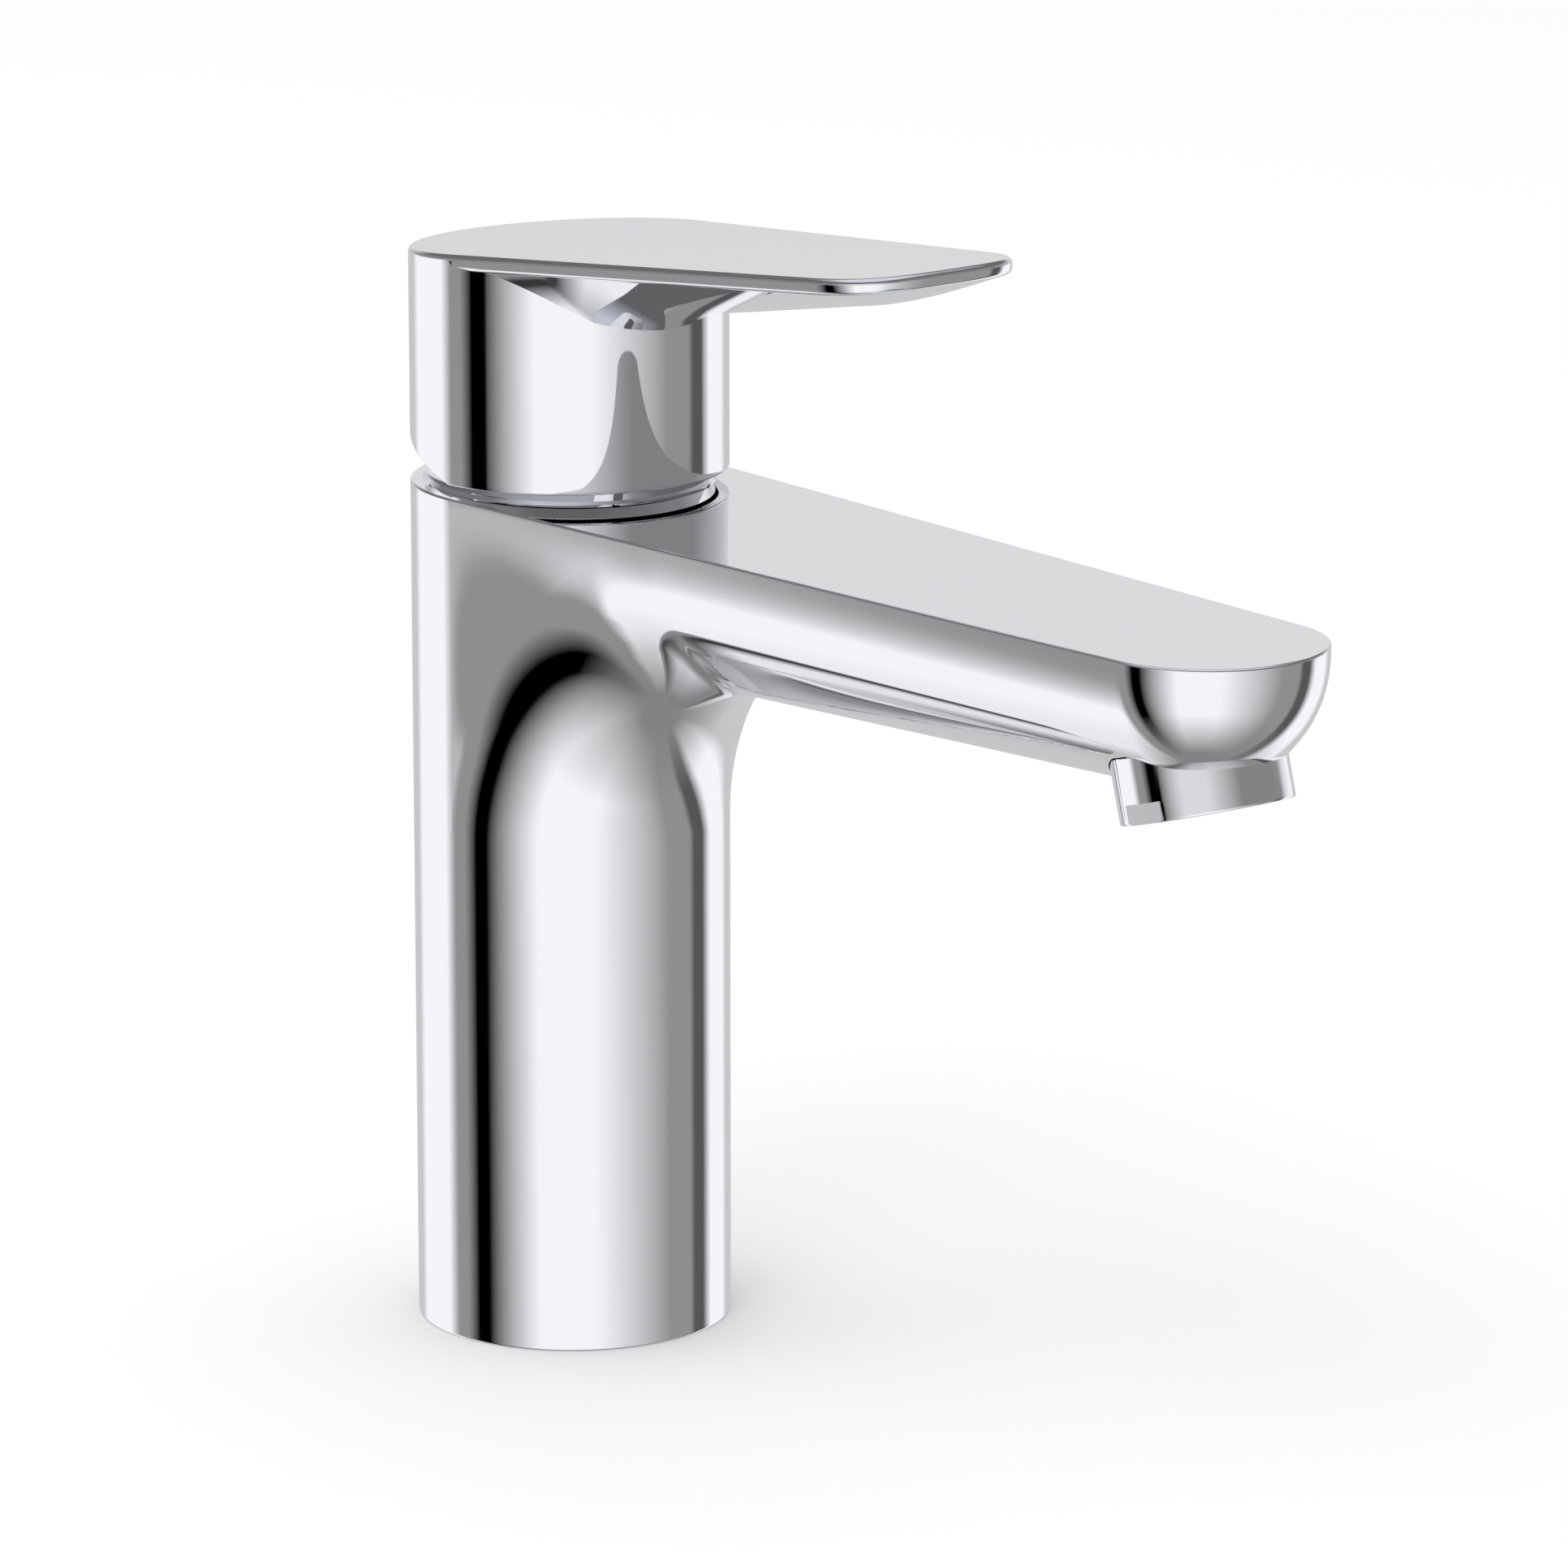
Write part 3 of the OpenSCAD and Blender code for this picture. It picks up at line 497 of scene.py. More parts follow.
@dataclass(frozen=True)
class Finish:
    """One material: its colour, its shader values and the effect that it places."""

    name: str
    color: Color
    surface: Surface
    effect: dict[str, float] = field(default_factory=dict)
    metallic: float = 0.0
    coat: float = 0.0
    subsurface: float = 0.0
    sheen: float = 0.0

    def material(self, groups: dict[Surface, bpy.types.NodeTree]) -> bpy.types.Material:
        """Builds the material.

        Args:
            groups: the node group of each effect.

        Returns:
            The new material.
        """
        mat = bpy.data.materials.new(self.name)
        mat.use_nodes = True
        n = Nodes(mat.node_tree)
        shader = mat.node_tree.nodes["Principled BSDF"]
        values = {
            "Base Color": (*self.color, 1), "Metallic": self.metallic, "Coat Weight": self.coat,
            "Coat Roughness": 0.05, "Subsurface Weight": self.subsurface, "Subsurface Radius": (1, 1, 1),
            "Subsurface Scale": 0.0006, "Sheen Weight": self.sheen,
        }
        for key, value in values.items():
            shader.inputs[key].default_value = value
        effect = n.add("ShaderNodeGroup", node_tree=groups[self.surface])
        for key, value in self.effect.items():
            effect.inputs[key].default_value = value
        n.link(effect.outputs["Roughness"], shader.inputs["Roughness"])
        n.link(effect.outputs["Normal"], shader.inputs["Normal"])
        if self.surface is Surface.MOULDED:
            dark = tuple(0.8 * c for c in self.color)
            shade = n.mix(effect.outputs["Shade"], (*dark, 1), (*self.color, 1))
            n.link(shade, shader.inputs["Base Color"])
        return mat


POLISHED, MOULDED, TURNED = Surface
# The hollows' chrome: rougher, and duller at the rear, because it is unbuffed. Its colour is a little darker
# than the chrome, and that darkening is painted shade in the hollows.
UNBUFFED_SHADED_CHROME = Finish(
    "chrome_unbuffed_painted_shade", (0.86, 0.865, 0.885), POLISHED,
    {"Roughness": 0.06, "Haze": 0.03, "Ripple": 0.1, "Dull": 0.24}, 1.0,
)
FINISHES = (
    Finish("chrome", (0.90, 0.905, 0.92), POLISHED, {"Roughness": 0.015, "Haze": 0.03, "Ripple": 0.1}, 1.0),
    Finish("black_rubber", (0.025, 0.025, 0.027), MOULDED, {"Depth": 0.5, "Roughness": 0.6}, sheen=0.1),
    Finish("white_plastic", (0.80, 0.80, 0.78), MOULDED, {"Roughness": 0.42}, subsurface=0.2),
    Finish("ceramic", (0.84, 0.82, 0.76), MOULDED, {"Depth": 0.08, "Roughness": 0.22}, coat=0.2),
    Finish("brass", (0.72, 0.50, 0.22), TURNED, {"Roughness": 0.24}, 1.0),
    Finish("red_plastic", (0.55, 0.07, 0.05), MOULDED, {"Roughness": 0.4}),
    Finish("grey_plastic", (0.33, 0.34, 0.36), MOULDED, {"Roughness": 0.38}),
    Finish("green_plastic", (0.20, 0.45, 0.22), MOULDED, {"Roughness": 0.4}),
    Finish("blue_plastic", (0.16, 0.27, 0.45), MOULDED, {"Roughness": 0.4}),
    Finish("steel", (0.56, 0.57, 0.58), TURNED, {"Roughness": 0.22, "Pitch": 0.0002}, 1.0),
    Finish("hot_enamel", (0.80, 0.62, 0.60), MOULDED, {"Depth": 0.05, "Roughness": 0.2}, coat=0.6),
    Finish("cold_enamel", (0.60, 0.68, 0.82), MOULDED, {"Depth": 0.05, "Roughness": 0.2}, coat=0.6),
)


# ----------------------------------------------------------------- casting


@dataclass
class Casting:
    """The pillar and the spout: one flat-topped skin, its well, its chamber and its hollows."""

    body_r: float = 23.0
    body_h: float = 124.6
    top_fall: float = 0.61
    well_r: float = 19.5
    well_h: float = 58.0
    groove_r: float = 22.05
    groove_w: float = 1.6
    groove_h: float = 1.5
    reach: float = 135.0
    nose_len: float = 15.34
    spout_taper: float = 2.61
    shell_t: float = 14.8
    shell_curl: float = 5.5
    curl_power: float = 2.54
    keel_z: float = 98.3
    keel_rise: float = 1.9
    keel_w: float = 6.5
    keel_lap: float = 0.6
    toe_back: float = 4.6
    hollow_len: float = 20.0
    hollow_sink: float = 12.0
    bend_z: float = 75.2
    bend_len: float = 22.3
    bend_lift: float = 0.5
    bend_push: float = 0.42
    dent_d: float = 1.6
    edge_t: float = 0.6
    edge_round: float = 0.35
    foot_round: float = 0.4
    outlet_d: float = 23.7
    outlet_z: float = 100.2
    outlet_tilt: float = 15.6
    nipple_t: float = 2.2
    seat_z: float = 102.0
    cavity_r: float = 17.8
    nut_z: float = 113.0
    thread_r: float = 19.55
    trim_z: float = 124.0
    trim_r: float = 21.0
    inlet_r: float = 4.5
    inlet_y: float = 7.2
    inlet_back: float = 4.0
    drill_r: float = 2.5
    stud_r: float = 3.35
    stud_x: float = 10.0
    slack: float = 0.15

    def __post_init__(self) -> None:
        """Works out the sizes that follow from the others."""
        taper = math.radians(self.spout_taper)
        self.side_x = self.body_r * math.sin(taper)
        self.bend_x = self.body_r + self.bend_len
        self.nose_x = self.reach + 0.4
        self.nose_tip = self.reach + self.nose_len
        self.bowl_x = self.nose_tip - self.shell_curl
        self.hollow_x = self.bend_x - 8.8
        self.hollow_tip = self.reach - 7
        self.toe_x = self.hollow_x - self.toe_back
        self.keel_end = self.reach - 5

    def flank(self, x: Array) -> Array:
        """Half width at the top face: r / cos(taper) - x tan(taper)."""
        taper = math.radians(self.spout_taper)
        return self.body_r / math.cos(taper) - x * math.tan(taper)

    def curl(self, t: Array) -> Array:
        """How far the side has curled in at depth t: curl (t / shell)^power."""
        return self.shell_curl * (np.maximum(t, 0) / self.shell_t) ** self.curl_power

    def top(self, x: Array) -> Array:
        """Height of the flat top: h - x tan(fall)."""
        return self.body_h - math.tan(math.radians(self.top_fall)) * x

    def lowest(self, x: Array) -> Array:
        """Depth of the lowest line: the keel, then a straight rise to the shell's edge."""
        held = np.minimum(x, self.keel_end)
        keel = self.top(held) - self.keel_z - math.tan(math.radians(self.keel_rise)) * held
        share = np.clip((x - self.keel_end) / (self.bowl_x - self.keel_end), 0, 1)
        return keel + (self.shell_t - keel) * share

    def power(self, x: Array) -> Array:
        """Exponent of the underside's curve, which leaves the shell's edge in the side's direction."""
        edge, edge_h = self.flank(x) - self.shell_curl, np.maximum(self.lowest(x) - self.shell_t, 1e-3)
        return np.maximum(1, edge * self.shell_t / (edge_h * self.shell_curl * self.curl_power))

    def depths(self) -> tuple[Array, Array]:
        """Depths down the side and shares of the half width across the underside, for one section."""
        side = self.edge_t + (self.shell_t - self.edge_t) * np.linspace(0, 1, 36) ** 0.85
        return side, np.linspace(1, 0, 40)[1:]

    def section(self, x: Array, a: Array) -> Array:
        """Upright sections of the spout and rows round its nose.

        Side: y = (flank - curl(t)) cos a, x + (nose - curl(t)) sin a. Underside:
        y = s edge cos a at depth shell + (lowest - shell)(1 - s^power).

        Args:
            x: where each section stands; the nose's rows all stand at its start.
            a: angle of each row round the nose, zero on the straight part.

        Returns:
            Rows x columns x 3, from the bend's highest line to the lowest line.
        """
        t, s = self.depths()
        sin, cos = np.sin(a)[:, None], np.cos(a)[:, None]
        side_x = x[:, None] + (self.nose_tip - self.nose_x - self.curl(t)) * sin
        side_y = (self.flank(side_x) - self.curl(t)) * cos
        side = np.stack([side_x, side_y, self.top(side_x) - t], -1)
        low_x = x + (self.bowl_x - self.nose_x) * np.sin(a)
        edge = (self.flank(low_x) - self.shell_curl) * np.cos(a)
        drop = (self.lowest(low_x) - self.shell_t)[:, None] * (1 - s ** self.power(low_x)[:, None])
        under_x = low_x[:, None] + 0 * s
        under = np.stack([under_x, edge[:, None] * s, self.top(under_x) - self.shell_t - drop], -1)
        return np.concatenate([side, under], 1)

    def dent(self, x: Array, z: Array) -> Array:
        """Share of the half width by which the side is drawn in where it leaves the pillar.

        It grows from the pillar's side up to the line x = 43.8 - 1.03 t and fades out again
        towards the spout, and it fades at the flat top and at the pillar's upper end.

        Args:
            x: distance from the axis.
            z: height.

        Returns:
            The share at each point.
        """
        t = self.top(x) - z
        deepest = np.clip(43.8 - 1.03 * t, 8, 31)
        along = ease(x, self.side_x, deepest) * (1 - ease(x, deepest, self.bend_x))
        fade = ease(t, 1, 16) * ease(z, self.bend_z + 12, self.bend_z + 34)
        return self.dent_d / self.body_r * along * fade

    def bend(self, w: Array) -> Array:
        """Rows of the bend: each line rises from the pillar and runs level into the spout.

        With B0..B3 the cubic weights at w, x = (B0+B1) x0 + (B2+B3) x1 - push B2 (x1 - x0),
        z = z0 + (z1 - z0)(lift B1 + B2 + B3), and y is the flank's half width times the
        share of it that the line has at its two ends, mixed in the same way.

        Args:
            w: place of each row, 0 on the pillar and 1 at the spout.

        Returns:
            Rows x columns x 3, with the columns of a section.
        """
        end = self.section(np.array([self.bend_x]), np.zeros(1))[0]
        depth = self.top(self.bend_x) - end[:, 2]
        q = (depth[-1] - depth) / (depth[-1] - self.edge_t)
        x0 = self.body_r - (self.body_r - self.side_x) * q
        y0 = np.sqrt(np.maximum(self.body_r**2 - x0**2, 0))
        w = w[:, None]
        far = w**2 * (3 - 2 * w)
        x = (1 - far) * x0 + far * self.bend_x - 3 * w**2 * (1 - w) * self.bend_push * (self.bend_x - x0)
        z = self.bend_z + (end[:, 2] - self.bend_z) * (far + 3 * w * (1 - w) ** 2 * self.bend_lift)
        share = (1 - far) * y0 / self.flank(x0) + far * end[:, 1] / self.flank(self.bend_x)
        return np.stack([x, self.flank(x) * share * (1 - self.dent(x, z)), z], -1)

    def skin(self) -> SkinBuilder:
        """The whole outer skin with the foot's well, closed.

        Returns:
            The builder that holds it.
        """
        made = SkinBuilder()
        nose = self.section(np.full(56, self.nose_x), np.radians(np.linspace(90, 0, 56)))
        bowl = np.linspace(self.nose_x, self.keel_end, 9)
        straight_x = np.concatenate([bowl, np.linspace(self.keel_end, self.bend_x, 41)[1:]])
        straight = self.section(straight_x, np.zeros(49))[1:]
        main = np.concatenate([nose, straight, self.bend(np.linspace(1, 0, 72)[1:])])
        made.both(main)
        # the part of the side above the bend's highest line, up to the edge's rounding
        k = np.linspace(0, 1, 41)[None, :, None]
        bent = slice(len(nose) + len(straight), None)
        rail = main[:, :1]
        high = rail.copy()
        high[..., 2] = self.top(rail[..., 0]) - self.edge_round
        high[bent, :, 1] = self.flank(rail[bent, :, 0])
        curtain = high + (rail - high) * k
        x, z = curtain[bent, :, 0], curtain[bent, :, 2]
        curtain[bent, :, 1] = self.flank(x) * (1 - self.dent(x, z))
        made.both(curtain)
        back = self.body_r * arc(90 - self.spout_taper, 180, 64)
        back_high = np.column_stack([back, self.top(back[:, 0]) - self.edge_round])[:, None]
        back_low = np.column_stack([back, np.full(64, self.bend_z)])[:, None]
        made.both(back_high + (back_low - back_high) * k)
        # the rounded edge of the flat top, then the flat itself
        outline = np.concatenate([high[:, 0], back_high[1:, 0]])
        inward = plan_normals(outline[:, :2])
        turn = np.radians(np.linspace(0, 90, 6))[None, :, None]
        shift = self.edge_round * (1 - np.cos(turn)) * inward[:, None]
        plan = outline[:, None, :2] + shift
        plan[[0, -1], :, 1] = 0
        depth = self.edge_round * (1 - np.sin(turn))
        edge = np.concatenate([plan, self.top(plan[..., :1]) - depth], -1)
        made.both(edge, flip=True)
        made.across(edge[:, -1])
        self.pillar(made, main[-1, :, :2], back)
        return made

    def pillar(self, made: SkinBuilder, front: Array, back: Array) -> None:
        """Adds the straight pillar below the bend, the foot's underside and the well.

        Every point of the half circle is carried along the profile (r, z).

        Args:
            made: the builder that gets the faces.
            front: half circle at the bend's start, from the side to the front.
            back: half circle from the side to the rear.
        """
        half = np.concatenate([front[::-1], back[1:]]) / self.body_r
        inner = self.groove_r - self.groove_w
        profile = np.concatenate(
            [
                [(self.body_r, self.bend_z), (self.body_r, self.bend_z / 2)],
                outer_edge(self.body_r, self.foot_round),
                [(self.groove_r, 0), (self.groove_r, self.groove_h), (inner, self.groove_h), (inner, 0)],
                inner_edge(self.well_r, 0.3),
                [(self.well_r, self.well_h)],
            ]
        )
        rows = half[:, None] * profile[None, :, :1]
        heights = np.broadcast_to(profile[None, :, 1:], (*rows.shape[:2], 1))
        made.both(np.concatenate([rows, heights], -1))
        made.across(np.column_stack([half * self.well_r, np.full(len(half), self.well_h)]))

    def outlet_place(self) -> Matrix:
        """Where the outlet's axis stands: its plane's middle, tilted away from the pillar."""
        return Matrix.Translation((self.reach, 0, self.outlet_z)) @ Matrix.Rotation(
            math.radians(-self.outlet_tilt), 4, "Y"
        )

    def under(self, x: Array, y: Array) -> Array:
        """Height of the underside between the shell's edge and the lowest line."""
        s = np.clip(y / (self.flank(x) - self.shell_curl), 0, 1)
        return self.top(x) - self.shell_t - (self.lowest(x) - self.shell_t) * (1 - s ** self.power(x))

    def hollow_sides(self, x: Array) -> tuple[Array, Array]:
        """The y of a hollow's inner edge, at the keel, and of its outer edge, at the shell."""
        run = np.clip((x - self.hollow_x) / (self.hollow_tip - self.hollow_x), 0, 1) ** 1.4
        outer = self.flank(x) - self.shell_curl + 0.02
        keel = self.keel_w - self.keel_lap
        return keel + (outer - keel) * run, outer

    def roof(self, x: Array, s: Array) -> Array:
        """Height of a hollow's roof at the share s of its width, from the keel outwards."""
        low, high = self.under(x, self.hollow_sides(x)[0]) - 0.3, self.top(x) - self.shell_t + 0.05
        rear = np.clip(1 - (x - self.toe_x) / self.hollow_len, 0, 1)
        return low + (high - low) * (1.34 * s - 0.34 * s**2) - self.hollow_sink * rear**1.6

    def hollow(self, side: int) -> SkinBuilder:
        """The scoop beside the keel, as sections from its rounded rear end to its pointed tip.

        Across, the roof climbs from the keel to the shell's edge as 1.34 s - 0.34 s^2. The
        keel's edge runs out to the shell's edge in front as u^1.4. At the rear the roof comes
        down over its first stretch by D v^1.6.

        Args:
            side: 1 for +Y, -1 for -Y.

        Returns:
            The builder that holds it.
        """
        rear = self.toe_x + self.hollow_len * np.linspace(0, 1, 36)
        x = np.concatenate([rear, np.linspace(rear[-1], self.hollow_tip, 57)[1:-1]])[:, None]
        inner, outer = self.hollow_sides(x)
        s = np.linspace(0, 1, 24)[None]
        y = inner + (outer - inner) * s
        ring = np.stack([x + 0 * y, y, self.roof(x, s)], -1)
        foot = [np.stack([x, y[:, [k]], 0 * x + self.bend_z], -1) for k in (0, -1)]
        ring = np.concatenate([foot[0], ring, foot[1], foot[0]], 1)
        ends = [end.mean(1, keepdims=True) + 0 * end for end in (ring[:1], ring[-1:])]
        skin = SkinBuilder()
        skin.grid(np.concatenate([ends[0], ring, ends[1]]) * np.array([1.0, side, 1.0]), side < 0)
        return skin

    def cutters(self) -> list[bpy.types.Mesh]:
        """The solids that are cut from the skin.

        Returns:
            The cartridge's chamber, the outlet's seat, both hollows and the tappings.
        """
        recess_r, high = self.trim_r + self.slack, self.body_h + 8
        chamber = [(0, self.seat_z), (self.cavity_r, self.seat_z), (self.cavity_r, self.nut_z)]
        chamber += [(self.thread_r, self.nut_z), (self.thread_r, self.trim_z), (recess_r, self.trim_z)]
        chamber += [(recess_r, high), (0, high)]
        outlet_r, nipple = self.outlet_d / 2 + self.slack, self.outlet_d / 2 - 1.15
        bore = nipple - self.nipple_t
        seat = [(0, -10), (outlet_r, -10), (outlet_r, 9.25), (nipple, 9.25)]
        seat += [(nipple, 3.6), (bore, 3.6), (bore, 14.1), (0, 14.1)]
        taps = [revolve(np.array(chamber), 128), revolve(np.array(seat), 128, self.outlet_place())]
        taps += [self.hollow(1), self.hollow(-1)]
        low, thread, drill = self.well_h - 1, self.inlet_r, self.drill_r
        inlet = np.array([(0, low), (thread, low), (thread, 74), (drill, 74.6), (drill, 103), (0, 103)])
        stud = np.array([(0, low), (self.stud_r, low), (self.stud_r, 72), (0, 73.5)])
        for y in (-self.inlet_y, self.inlet_y):
            taps.append(revolve(inlet, 48, Matrix.Translation((-self.inlet_back, y, 0))))
        taps.append(revolve(stud, 48, Matrix.Translation((self.stud_x, 0, 0))))
        return [tap.mesh(f"casting_cut_{k}") for k, tap in enumerate(taps)]

    def mark_hollows(self, mesh: bpy.types.Mesh) -> None:
        """Gives the faces that lie on the roof of either hollow the second slot: rougher unbuffed chrome
        whose slightly darker colour is painted shade in the hollows.

        Args:
            mesh: the cut casting.
        """
        centers = np.array([face.center for face in mesh.polygons]) / MM
        x, y, z = centers[:, 0], np.abs(centers[:, 1]), centers[:, 2]
        inner, outer = self.hollow_sides(x)
        s = np.clip((y - inner) / (outer - inner), 0, 1)
        inside = (x > self.toe_x) & (x < self.hollow_tip) & (y > inner - 0.1) & (y < outer + 0.1)
        inside &= np.abs(z - self.roof(x, s)) < 0.25
        for k in np.nonzero(inside)[0]:
            mesh.polygons[int(k)].material_index = 1

    def build(self) -> bpy.types.Object:
        """Makes the casting's object, in place of its CAD node."""
        obj = finished(self.skin().mesh("casting_skin"), "casting_skin", cutters=self.cutters())
        self.mark_hollows(obj.data)
        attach(obj, "faucet_body")
        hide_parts("body_casting")
        return obj


# ------------------------------------------------------------------- lever


@dataclass
class Lever:
    """The lever: a flat top with a rounded rim, a belly that meets the skirt, and the skirt."""

    body_r: float = 23.0
    skirt_z: float = 126.5
    bore_r: float = 21.4
    lever_z: float = 159.7
    rise: float = 4.47
    taper: float = 5.23
    length: float = 83.2
    end: float = 12.7
    end_power: float = 0.6
    rim_t: float = 2.35
    rim_round: float = 0.8
    belly_root: float = 12.4
    belly_fall: float = 5.54
    relief_x: float = 0.8
    relief_angle: float = 18.3
    cap_t: float = 7.2
    edge_round: float = 0.25
    boss_r: float = 7.5
    rib_w: float = 9.0
    bush: float = 9.0
    screw_r: float = 2.5
    plug_r: float = 3.3

    def __post_init__(self) -> None:
        """Works out the sizes that follow from the others."""
        self.ceiling = self.lever_z - self.cap_t
        self.screw_z = self.ceiling - 4.3
        self.side_x = self.body_r * math.sin(math.radians(self.taper))
        self.end_x = self.length - self.end

    def half(self, x: Array) -> Array:
        """Half width of the top: r / cos(taper) - x tan(taper)."""
        a = math.radians(self.taper)
        return self.body_r / math.cos(a) - x * math.tan(a)

    def top(self, x: Array) -> Array:
        """Height of the top: h + x tan(rise)."""
        return self.lever_z + math.tan(math.radians(self.rise)) * x

    def belly(self, x: Array, y: Array) -> Array:
        """Depth of the underside below the top.

        depth = rim + (root(x) - rim)(1 - s^1.9), where s is the place between the spine (0)
        and the rim (1): s^n = (y / half)^n + ((x - end) / end length)^n.

        Args:
            x: distance from the axis.
            y: distance from the middle plane.

        Returns:
            The depth at each point.
        """
        n = 2 / self.end_power
        half = self.half(x) - self.rim_round
        over = np.maximum(x - self.end_x, 0) / (self.end - self.rim_round)
        s = np.clip((np.abs(y) / half) ** n + over**n, 0, 1) ** (1 / n)
        u = np.maximum(x, self.body_r - 3)
        root = self.belly_root - math.tan(math.radians(self.belly_fall)) * u
        root = root + 0.023 * np.maximum(0, self.body_r + 9 - u) ** 2
        return self.rim_t + (root - self.rim_t) * (1 - s**1.9)

    def outline(self, d: Array) -> Array:
        """The top's outline drawn in by d, from the tip back to the skirt's rear.

        End: x = end + L sin(a)^p, y = half cos(a)^p. Side: y = half(x). Back: a half circle.

        Args:
            d: how far each column is drawn in.

        Returns:
            Stations x columns x 2.
        """
        d = np.atleast_1d(d)[None, :]
        a = np.radians(90 * (1 - np.linspace(0, 1, 45)))[:, None]
        end_x = self.end_x + (self.end - d) * np.maximum(np.sin(a), 0) ** self.end_power
        end_y = (self.half(end_x) - d) * np.maximum(np.cos(a), 0) ** self.end_power
        side_x = np.linspace(self.end_x, self.side_x, 60)[1:, None] + 0 * d
        side_y = self.half(side_x) - d
        back = (self.body_r - d)[..., None] * arc(90 - self.taper, 180, 60)[1:, None]
        x = np.concatenate([end_x, side_x, back[..., 0]])
        y = np.concatenate([end_y, side_y, back[..., 1]])
        y[[0, -1]] = 0
        return np.stack([x, y], -1)

    def skin(self) -> SkinBuilder:
        """The closed skin: top, rim, belly, skirt and the skirt's hollow.

        Returns:
            The builder that holds it.
        """
        made = SkinBuilder()
        turn = np.radians(np.linspace(90, 0, 7))
        r, upper_t, roll = self.rim_round, 0.9, 0.85
        plan = self.outline(r * (1 - np.cos(turn)))
        depth = upper_t * (1 - np.sin(turn))
        upper = np.concatenate([plan, self.top(plan[..., :1]) - depth[None, :, None]], -1)
        made.both(upper)
        made.across(upper[:, 0], flip=True)
        # the rim below its widest line, as far as the skirt leaves it free
        base = self.outline(np.zeros(1))[:, 0]
        inset = self.outline(np.full(1, r))[:, 0]
        x = base[:, 0]
        free = np.clip((self.half(x) - np.sqrt(np.maximum(self.body_r**2 - x**2, 0))) / r, 0, 1)
        free = np.where(x > self.body_r, 1, free)
        free = np.where(x < self.side_x + 1e-6, 0, free)
        swing = np.arccos(1 - free)[:, None] * np.linspace(0, 1, 7)[None]
        low_plan = base[:, None] + (inset - base)[:, None] * (1 - np.cos(swing))[..., None]
        low_t = np.where(np.arange(7) > 0, self.rim_t - roll, upper_t) + roll * np.sin(swing)
        lower = np.concatenate([low_plan, (self.top(low_plan[..., 0]) - low_t)[..., None]], -1)
        count = int((x >= self.side_x - 1e-6).sum())
        made.both(lower[:count])
        # the belly, from the rim to the arch on the skirt
        start = lower[:count, -1]
        first = int(np.argmin(free[:count] >= 1))
        rim = start[: first + 1]
        walk = np.concatenate([[0], np.cumsum(np.hypot(*np.diff(rim[:, :2], axis=0).T))])
        arch = self.body_r * circle(math.atan2(rim[-1, 1], rim[-1, 0]) * walk / walk[-1])
        k = np.linspace(0, 1, 40)[None, :, None]
        plan = rim[:, None, :2] + (arch - rim[:, :2])[:, None] * k
        z = self.top(plan[..., 0]) - self.belly(plan[..., 0], plan[..., 1])
        z[:, 0] = rim[:, 2]
        belly = np.concatenate([plan, z[..., None]], -1)
        belly[-1] = rim[-1]
        made.both(belly)
        # the skirt under the arch and round the back
        high = np.concatenate([belly[:, -1], start[first + 1 :], upper[count:, -1]])
        self.skirt(made, high)
        return made

    def skirt(self, made: SkinBuilder, high: Array) -> None:
        """Adds the skirt's wall, its lower edge and its hollow.

        Wall: r = body; lower edge z = skirt + tan(relief) max(0, x_r - x).

        Args:
            made: the builder that gets the faces.
            high: the skirt's upper line, from the front to the rear.
        """
        e, toward = self.edge_round, circle(np.arctan2(high[:, 1], high[:, 0]))
        profile = np.concatenate(
            [[(self.body_r, 1), (self.body_r, e)], outer_edge(self.body_r, e, 15), inner_edge(self.bore_r, e)]
        )
        plan = toward[:, None] * profile[None, :, :1]
        slope = math.tan(math.radians(self.relief_angle))
        low = self.skirt_z + slope * np.maximum(0, self.relief_x - plan[..., :1])
        wall = np.concatenate([plan, low + profile[None, :, 1:]], -1)
        roof = np.column_stack([self.bore_r * toward, np.full(len(toward), self.ceiling)])
        grid = np.concatenate([high[:, None], wall, roof[:, None]], 1)
        grid[[0, -1], :, 1] = 0
        made.both(grid)
        made.across(grid[:, -1])

    def boss(self) -> bpy.types.Mesh:
        """The boss round the spindle and the rib of the set screw, inside the skirt."""
        half, rear = self.rib_w / 2, -self.bore_r - 0.6
        ring = np.concatenate([self.boss_r * arc(-143, 143, 60), [(rear, half), (rear, -half)]])
        return extruded(ring, self.ceiling - 10, self.ceiling + 2).mesh("lever_boss")

    def cutters(self) -> list[bpy.types.Mesh]:
        """The room under the rib, the spindle's hole, the screw's bore, and the marks' seats."""
        s, low = self.bush / 2, self.ceiling - 11
        square = extruded(np.array([(s, s), (-s, s), (-s, -s), (s, -s)]), low, self.ceiling)
        rear = Matrix.Translation((0, 0, self.screw_z)) @ Matrix.Rotation(math.radians(-90), 4, "Y")
        screw, plug = self.screw_r, self.plug_r
        steps = [(0, 2), (screw, 2), (screw, 19.5), (plug, 19.5), (plug, 25), (0, 25)]
        bore = revolve(np.array(steps), 48, rear)
        near, far = (self.boss_r + 0.02) * arc(138, 222, 19), (self.bore_r + 0.08) * arc(193.5, 166.5, 9)
        cuts = [extruded(np.concatenate([near, far]), low, self.ceiling - 8), square, bore]
        for x, y in ((-1.0, -11.7), (-1.0, 11.7)):
            lean = Matrix.Rotation(math.radians(-self.rise), 4, "Y")
            place = Matrix.Translation((x, y, self.top(x))) @ lean
            cuts.append(revolve(np.array([(0, -0.4), (1.1, -0.4), (1.1, 2), (0, 2)]), 48, place))
        return [cut.mesh(f"lever_cut_{k}") for k, cut in enumerate(cuts)]

